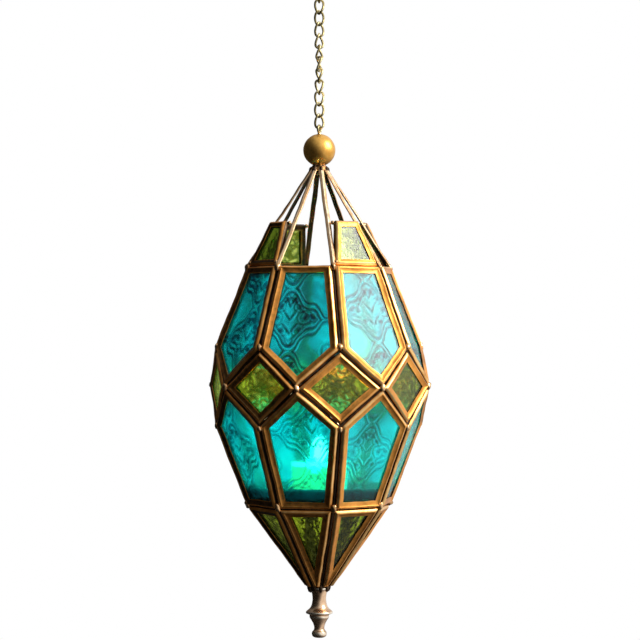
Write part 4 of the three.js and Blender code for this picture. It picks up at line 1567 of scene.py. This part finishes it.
@dataclass(frozen=True)
class Solder:
    """The lumps of solder at the corners and the seams run between the frames; the near-black lumps and seams are
    partly solder and partly painted shade.
    """

    bright: bpy.types.Material
    dark_solder_and_shade: bpy.types.Material
    lump: float = 2.35
    sink: float = 1.6
    drop: float = 1.6
    diamond_lump: float = 2.3
    foot_lump: float = 1.35
    top_lump: float = 1.35
    collar_lump: float = 1.5
    collar_sink: float = 1.3
    collar_drop: float = 3.4
    tip_lump: float = 1.9
    tip_sink: float = 3.1
    seam_radius: float = 1.3
    seam_depth: float = 3.7

    def seam_at(self, height: float) -> float:
        """Returns the body's corner radius at a height above or below the equator."""
        slope = (SIZES.shoulder_radius - SIZES.ring_radius) / (SIZES.ring_height - SIZES.shoulder_height)
        return SIZES.ring_radius + (SIZES.ring_height - abs(height)) * slope

    def lumps(self) -> list[Shape]:
        """Makes the lumps at the rings, the shoulders and the diamonds' corners."""
        shapes = []
        for seam in range(SIDES):
            angle = STEP / 2 + seam * STEP
            for number, height in enumerate((SIZES.ring_height - self.drop, SIZES.shoulder_height + self.drop,
                                             -SIZES.shoulder_height - self.drop, -SIZES.ring_height + self.drop)):
                centre = off_axis(self.seam_at(height) - self.sink, angle, height)
                slope = np.array([math.cos(angle) * -0.4, math.sin(angle) * -0.4, math.copysign(1.0, height)])
                seed = seam * 5 + number
                size = self.lump * (0.8 + 0.12 * math.sin(seed * 2.3))
                shapes.append(blob(centre, size, seed, slope * (0.8 + 0.6 * math.cos(seed * 1.3))))
            centre = off_axis(SIZES.diamond_apothem / FLAT - SIZES.frame_depth / 2, seam * STEP, 0.0)
            shapes.append(blob(centre, self.diamond_lump * (0.86 + 0.08 * math.sin(seam * 3.1)), 60 + seam,
                               np.array([0.0, 0.0, 0.7])))
        return shapes

    def crown_lumps(self, crown: Crown) -> list[Shape]:
        """Makes the lumps where the crown's legs and frames stand on the upper ring."""
        shapes = []
        foot = SIZES.ring_height + 1.2
        gap = crown.leg_flange + SIZES.clearance
        top = SIZES.ring_height + crown.pane_height - SIZES.frame_depth / 2
        for side in crown.pane_sides:
            for hand in (-1, 1):
                for number, (height, out, size) in enumerate((
                        (foot, 0.0, self.foot_lump), (top, crown.top_stand_off / 3, self.top_lump))):
                    radius = crown.leg_radius(height)
                    spot = np.array([[radius * FLAT + out - 0.6, hand * (radius * SPREAD - gap), height]])
                    centre = turned_about(spot, side * STEP)[0]
                    shapes.append(blob(centre, size, 80 + side * 4 + hand + number * 2))
        return shapes

    def end_lumps(self, crown: Crown) -> list[Shape]:
        """Makes near-black lumps between the legs under the cap, and between the cone's frames at their tip: partly
        solder, partly painted shade.
        """
        shapes = []
        for leg in range(SIDES):
            angle = STEP / 2 + leg * STEP
            height = crown.cap_top - self.collar_drop
            centre = off_axis(crown.leg_radius(height) - self.collar_sink, angle, height)
            shapes.append(blob(centre, self.collar_lump, 120 + leg, np.array([0.0, 0.0, 1.0])))
            centre = off_axis(SIZES.cone_tip_radius - self.tip_sink, angle,
                              SIZES.cone_tip_height + 0.3 - 0.9 * math.sin(leg * 2.2))
            shapes.append(blob(centre, self.tip_lump * (0.9 + 0.16 * math.sin(leg * 1.7)), 70 + leg,
                               np.array([0.0, 0.0, 1.8])))
        return shapes

    def seam(self, start: np.ndarray, end: np.ndarray, seed: float) -> Shape:
        """Makes a run of solder between two points, thick and thin by turns.

        Args:
            start: Where it starts.
            end: Where it ends.
            seed: Which run.

        Returns:
            Points and faces.
        """
        steps = max(6, round(float(np.linalg.norm(end - start)) / 1.4))
        path = np.array([start + (end - start) * step / steps for step in range(steps + 1)])
        for row, point in enumerate(path):
            path[row] += np.array(noise.noise_vector(Vector(point) * 0.3 + Vector((seed, 0, 0)))) * 0.22
        return sweep_wire(path, self.seam_radius, False, 10,
                          lambda step: 1 + 0.35 * noise.noise(Vector((step * 0.55, seed * 2.1, 3.0))))

    def seams(self) -> list[Shape]:
        """Makes the near-black runs along the sides of the frames, behind the grooves between them: partly solder,
        partly painted shade in the grooves.
        """
        shapes = []
        depth = self.seam_depth
        for seam in range(SIDES):
            angle = STEP / 2 + seam * STEP
            ring, shoulder = SIZES.ring_radius - depth, SIZES.shoulder_radius - depth
            high, low = SIZES.ring_height - 1.5, SIZES.shoulder_height
            point = SIZES.diamond_apothem / FLAT - depth
            for hand in (-1, 1):
                shapes.append(self.seam(off_axis(ring, angle, hand * high), off_axis(shoulder, angle, hand * low),
                                        seam * 7 + hand))
                for turn in (-1, 1):
                    corner = angle + turn * STEP / 2
                    shapes.append(self.seam(off_axis(shoulder, angle, hand * low), off_axis(point, corner, hand * 1.0),
                                            seam * 9 + hand * 2 + turn + 0.3))
            tip = SIZES.cone_tip_radius - 2.2
            shapes.append(self.seam(off_axis(ring - 0.4, angle, -SIZES.ring_height - 1.0),
                                    off_axis(tip, angle, SIZES.cone_tip_height + 3.5), seam * 3 + 0.7))
            after = angle + STEP
            shapes.append(self.seam(off_axis(ring + 0.4, angle, -SIZES.ring_height),
                                    off_axis(ring + 0.4, after, -SIZES.ring_height), seam * 4 + 0.9))
        return shapes

    def build(self, crown: Crown) -> None:
        """Makes the solder on the body and on the crown.

        Args:
            crown: The crown, for where its legs and frames stand.
        """
        rings = [f"{kind.value}_frame_ring" for kind in Kind]
        for name, shapes, nodes, finish in (
                ("solder_lumps", self.lumps(), rings, self.bright),
                ("crown_solder", self.crown_lumps(crown), ["crown"], self.bright),
                ("end_solder_and_shade", self.end_lumps(crown), ["crown", "cone_frame_ring"], self.dark_solder_and_shade),
                ("solder_seams_and_shade", self.seams(), rings, self.dark_solder_and_shade)):
            points, faces = gather(shapes)
            add_piece(name, handmade(points), faces, finish, Body.LANTERN.value, nodes,
                      np.full(len(points), 0.2), math.radians(80))
        LOG.info("made the solder")


@dataclass(frozen=True)
class Tray:
    """The eight-sided tray on the inside of the lower frames, with the ring that seats a tea light."""

    material: bpy.types.Material
    rise: float = 5.0
    depth: float = 9.4
    wall: float = 0.8
    floor: float = 1.0
    seat_radius: float = 19.5
    seat_wall: float = 1.0
    seat_height: float = 4.0

    @property
    def foot(self) -> float:
        """The height of the tray's underside."""
        return -(SIZES.ring_height - self.rise)

    def inside_at(self, height: float) -> float:
        """Returns the tray's corner radius outside its wall, at a height below the equator."""
        lower = LAYOUT.facets[Kind.LOWER]
        apothem = SIZES.ring_apothem + SIZES.slope * (SIZES.ring_height + height) - SIZES.frame_depth / lower.out.x
        return (apothem - SIZES.clearance / lower.out.x) / FLAT

    def build(self) -> None:
        """Makes the tray with its rolled rim and softened corners."""
        rim = self.foot + self.depth
        profile = [
            (0.2, self.foot), (self.inside_at(self.foot) - 1.2, self.foot),
            (self.inside_at(self.foot) - 0.25, self.foot + 0.25), (self.inside_at(self.foot + 1.2), self.foot + 1.2),
            (self.inside_at(rim - 1.3), rim - 1.3), (self.inside_at(rim - 0.5) + 0.1, rim - 0.5),
            (self.inside_at(rim) - 0.35, rim), (self.inside_at(rim) - 0.95, rim - 0.1),
            (self.inside_at(rim - 0.9) - 1.2, rim - 0.9), (self.inside_at(self.foot + 2) - 0.9, self.foot + 2.0),
            (self.inside_at(self.foot + 1) - 1.7, self.foot + self.floor), (0.2, self.foot + self.floor)]
        corner_steps = 12
        points: list[tuple[float, float, float]] = []
        tone: list[float] = []
        around = SIDES * corner_steps
        for row, (radius, height) in enumerate(profile):
            for at in range(around):
                angle = 2 * math.pi * at / around
                off = (angle + STEP / 2) % STEP - STEP / 2
                reach = radius * FLAT / math.cos(off)
                reach = min(reach, radius * (0.985 if radius > 5 else 1.0))
                points.append((reach * math.cos(angle), reach * math.sin(angle), height))
                tone.append(0.9 if row in (6, 7) else 0.2)
        faces = tube(len(profile), around, capped=True)
        seat_low = self.foot + self.floor - 0.4
        seat_top = self.foot + self.floor + self.seat_height
        inner, outer = self.seat_radius, self.seat_radius + self.seat_wall
        seat_points, seat_faces = turn_profile([
            (inner, seat_low), (outer, seat_low), (outer, seat_top - 0.3), (outer - 0.2, seat_top),
            (inner + 0.2, seat_top), (inner, seat_top - 0.3), (inner, seat_low)], 72)
        all_points, all_faces = gather([(np.array(points), faces), (seat_points, seat_faces)])
        add_piece("tin_tray", all_points, all_faces, self.material, Body.LANTERN.value, ["tray"],
                  np.concatenate([np.array(tone), np.full(len(seat_points), 0.4)]))
        LOG.info("made the tray")


@dataclass(frozen=True)
class TeaLight:
    """The tea light: a thin clear cup, wax with a melted pool, a burnt wick and its flame."""

    plastic: bpy.types.Material
    wax: bpy.types.Material
    wick: bpy.types.Material
    flame: bpy.types.Material
    foot: float = -75.3
    radius: float = 19.0
    height: float = 24.0
    wall: float = 0.6
    wax_height: float = 20.5
    wax_dish: float = 1.2
    wick_radius: float = 0.9
    wick_height: float = 7.0
    flame_height: float = 17.0
    flame_radius: float = 3.3

    def cup(self) -> Shape:
        """Makes the cup, with a rounded foot, faint upright flutes in its wall and a rolled rim."""
        foot, rim, radius, wall = self.foot, self.foot + self.height, self.radius, self.wall
        inner = radius - wall
        profile = [
            (0.1, foot), (radius - 1.6, foot), (radius - 0.7, foot + 0.3), (radius - 0.35, foot + 1.0),
            *[(radius - 0.3, foot + 1.6 + step * (self.height - 4.2) / 10) for step in range(11)],
            (radius - 0.25, rim - 2.0), (radius - 0.02, rim - 1.4), (radius, rim - 0.7), (radius - 0.12, rim - 0.15),
            (radius - 0.35, rim), (inner, rim - 0.2), (inner - 0.02, rim - 1.5), (inner, foot + wall),
            (0.1, foot + wall)]
        points, faces = turn_profile(profile, 120)
        for row, point in enumerate(points):
            out = math.hypot(point[0], point[1])
            between = foot + 1.5 < point[2] < rim - 2.1 and out > inner + 0.15
            if between:
                angle = math.atan2(point[1], point[0])
                flute = 0.1 * math.cos(angle * 24)
                points[row][:2] *= (out + flute) / out
        return points, faces

    def pool(self) -> Shape:
        """Makes the wax, with a soft melted dish round the wick."""
        outer = self.radius - self.wall - 0.3
        foot = self.foot + self.wall + 0.3
        surface = foot + self.wax_height
        dish = surface - self.wax_dish
        profile = [(0.1, foot), (outer, foot), (outer, surface - 0.3), (outer - 0.3, surface - 0.03),
                   (outer - 0.9, surface - 0.1), (outer - 2.0, surface - 0.42), (outer - 3.4, dish + 0.22),
                   (outer / 2, dish + 0.02), (3.0, dish), (1.6, dish + 0.12), (0.1, dish + 0.25)]
        points, faces = turn_profile(profile, 96)
        for row, point in enumerate(points):
            if point[2] > dish - 0.1 and math.hypot(point[0], point[1]) < outer - 0.5:
                points[row][2] += 0.12 * noise.noise(Vector(point) * 0.25)
        return points, faces

    def wick_path(self) -> np.ndarray:
        """Returns the wick's centreline, slightly curled at its tip."""
        dish = self.foot + self.wall + 0.3 + self.wax_height - self.wax_dish
        steps = 12
        return np.array([(0.16 * math.sin(step * 0.5), 0.35 * (step / steps) ** 3,
                          dish - 0.4 + (self.wick_height + 0.3) * step / steps) for step in range(steps + 1)])

    def flame_shape(self) -> Shape:
        """Makes the flame, a drop with a slender tip that leans a little."""
        low = self.foot + self.wall + 0.3 + self.wax_height - self.wax_dish + self.wick_height * 0.45
        steps = 26
        profile = [(0.05, low)]
        for step in range(1, steps):
            share = step / steps
            radius = self.flame_radius * math.sin(math.pi * share ** 0.72) ** 0.9 * (1 - 0.35 * share)
            profile.append((max(radius, 0.06), low + self.flame_height * share))
        profile.append((0.04, low + self.flame_height))
        points, faces = turn_profile(profile, 28)
        for row, point in enumerate(points):
            share = (point[2] - low) / self.flame_height
            points[row][0] += 0.8 * share ** 2
        return points, faces

    def build(self) -> None:
        """Makes the tea light's pieces."""
        body = Body.TEA_LIGHT.value
        points, faces = self.cup()
        add_piece("clear_cup", points, faces, self.plastic, body, ["candle_cup"],
                  np.full(len(points), 0.2), math.radians(50))
        points, faces = self.pool()
        add_piece("melted_wax", points, faces, self.wax, body, ["candle_wax"])
        points, faces = sweep_wire(self.wick_path(), self.wick_radius * 0.9, False, 12,
                                   lambda step: 1 + 0.16 * math.sin(step * 2.4))
        add_piece("burnt_wick", points, faces, self.wick, body, ["candle_wax"])
        points, faces = self.flame_shape()
        add_piece("flame", points, faces, self.flame, body, ["candle_wax"])
        LOG.info("made the tea light")


def main() -> None:
    """Builds the lantern's pieces in order."""
    logging.basicConfig(level=logging.INFO, format="%(name)s: %(message)s")
    # Without a seed, noise vectors start from the clock and each run makes other edges.
    noise.seed_set(NOISE_SEED)
    Studio().build()
    finishes = {
        Slot.AGED_BRASS: FRAME_BRASS.make(), Slot.BALL_GOLD: BALL_GOLD.make(),
        Slot.FINIAL_BRASS: FINIAL_BRASS.make(), Slot.CHAIN_BRASS: CHAIN_BRASS.make(),
        Slot.TURQUOISE_GLASS: TURQUOISE.make(), Slot.OLIVE_GLASS: OLIVE.make(),
        Slot.TRAY_TIN: TRAY_TIN.make(), Slot.CUP_PLASTIC: CLEAR_PLASTIC.make(), Slot.WAX: WAX.make(),
    }
    prefixes = {
        "top_hook": Slot.CHAIN_BRASS, "chain_link": Slot.CHAIN_BRASS, "eye_pin": Slot.CHAIN_BRASS,
        "ball": Slot.BALL_GOLD, "finial": Slot.FINIAL_BRASS, "tray": Slot.TRAY_TIN,
        "candle_cup": Slot.CUP_PLASTIC, "candle_wax": Slot.WAX, "upper_pane": Slot.TURQUOISE_GLASS,
        "lower_pane": Slot.TURQUOISE_GLASS, "diamond_pane": Slot.OLIVE_GLASS, "cone_pane": Slot.OLIVE_GLASS,
        "crown_pane": Slot.OLIVE_GLASS, "crown": Slot.AGED_BRASS, "upper_frame": Slot.AGED_BRASS,
        "lower_frame": Slot.AGED_BRASS, "diamond_frame": Slot.AGED_BRASS, "cone_frame": Slot.AGED_BRASS,
    }
    for name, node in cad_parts.items():
        slot = next(slot for prefix, slot in prefixes.items() if name.startswith(prefix))
        node.data.materials.clear()
        node.data.materials.append(finishes[slot])
    LOG.info("dressed %d nodes", len(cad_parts))
    FrameRings(finishes[Slot.AGED_BRASS]).build()
    BodyPanes(finishes[Slot.TURQUOISE_GLASS], finishes[Slot.OLIVE_GLASS]).build()
    crown = Crown(finishes[Slot.AGED_BRASS], RUBBED_BRASS.make(), finishes[Slot.OLIVE_GLASS])
    crown.build()
    Solder(SOLDER.make(), SEAM_SOLDER_AND_SHADE.make()).build(crown)
    BallAndFinial(finishes[Slot.BALL_GOLD], finishes[Slot.FINIAL_BRASS]).build()
    Chain(finishes[Slot.CHAIN_BRASS]).build()
    Tray(finishes[Slot.TRAY_TIN]).build()
    TeaLight(finishes[Slot.CUP_PLASTIC], finishes[Slot.WAX], BurntCotton().make(), Flame().make()).build()


if __name__ == "__main__":
    main()
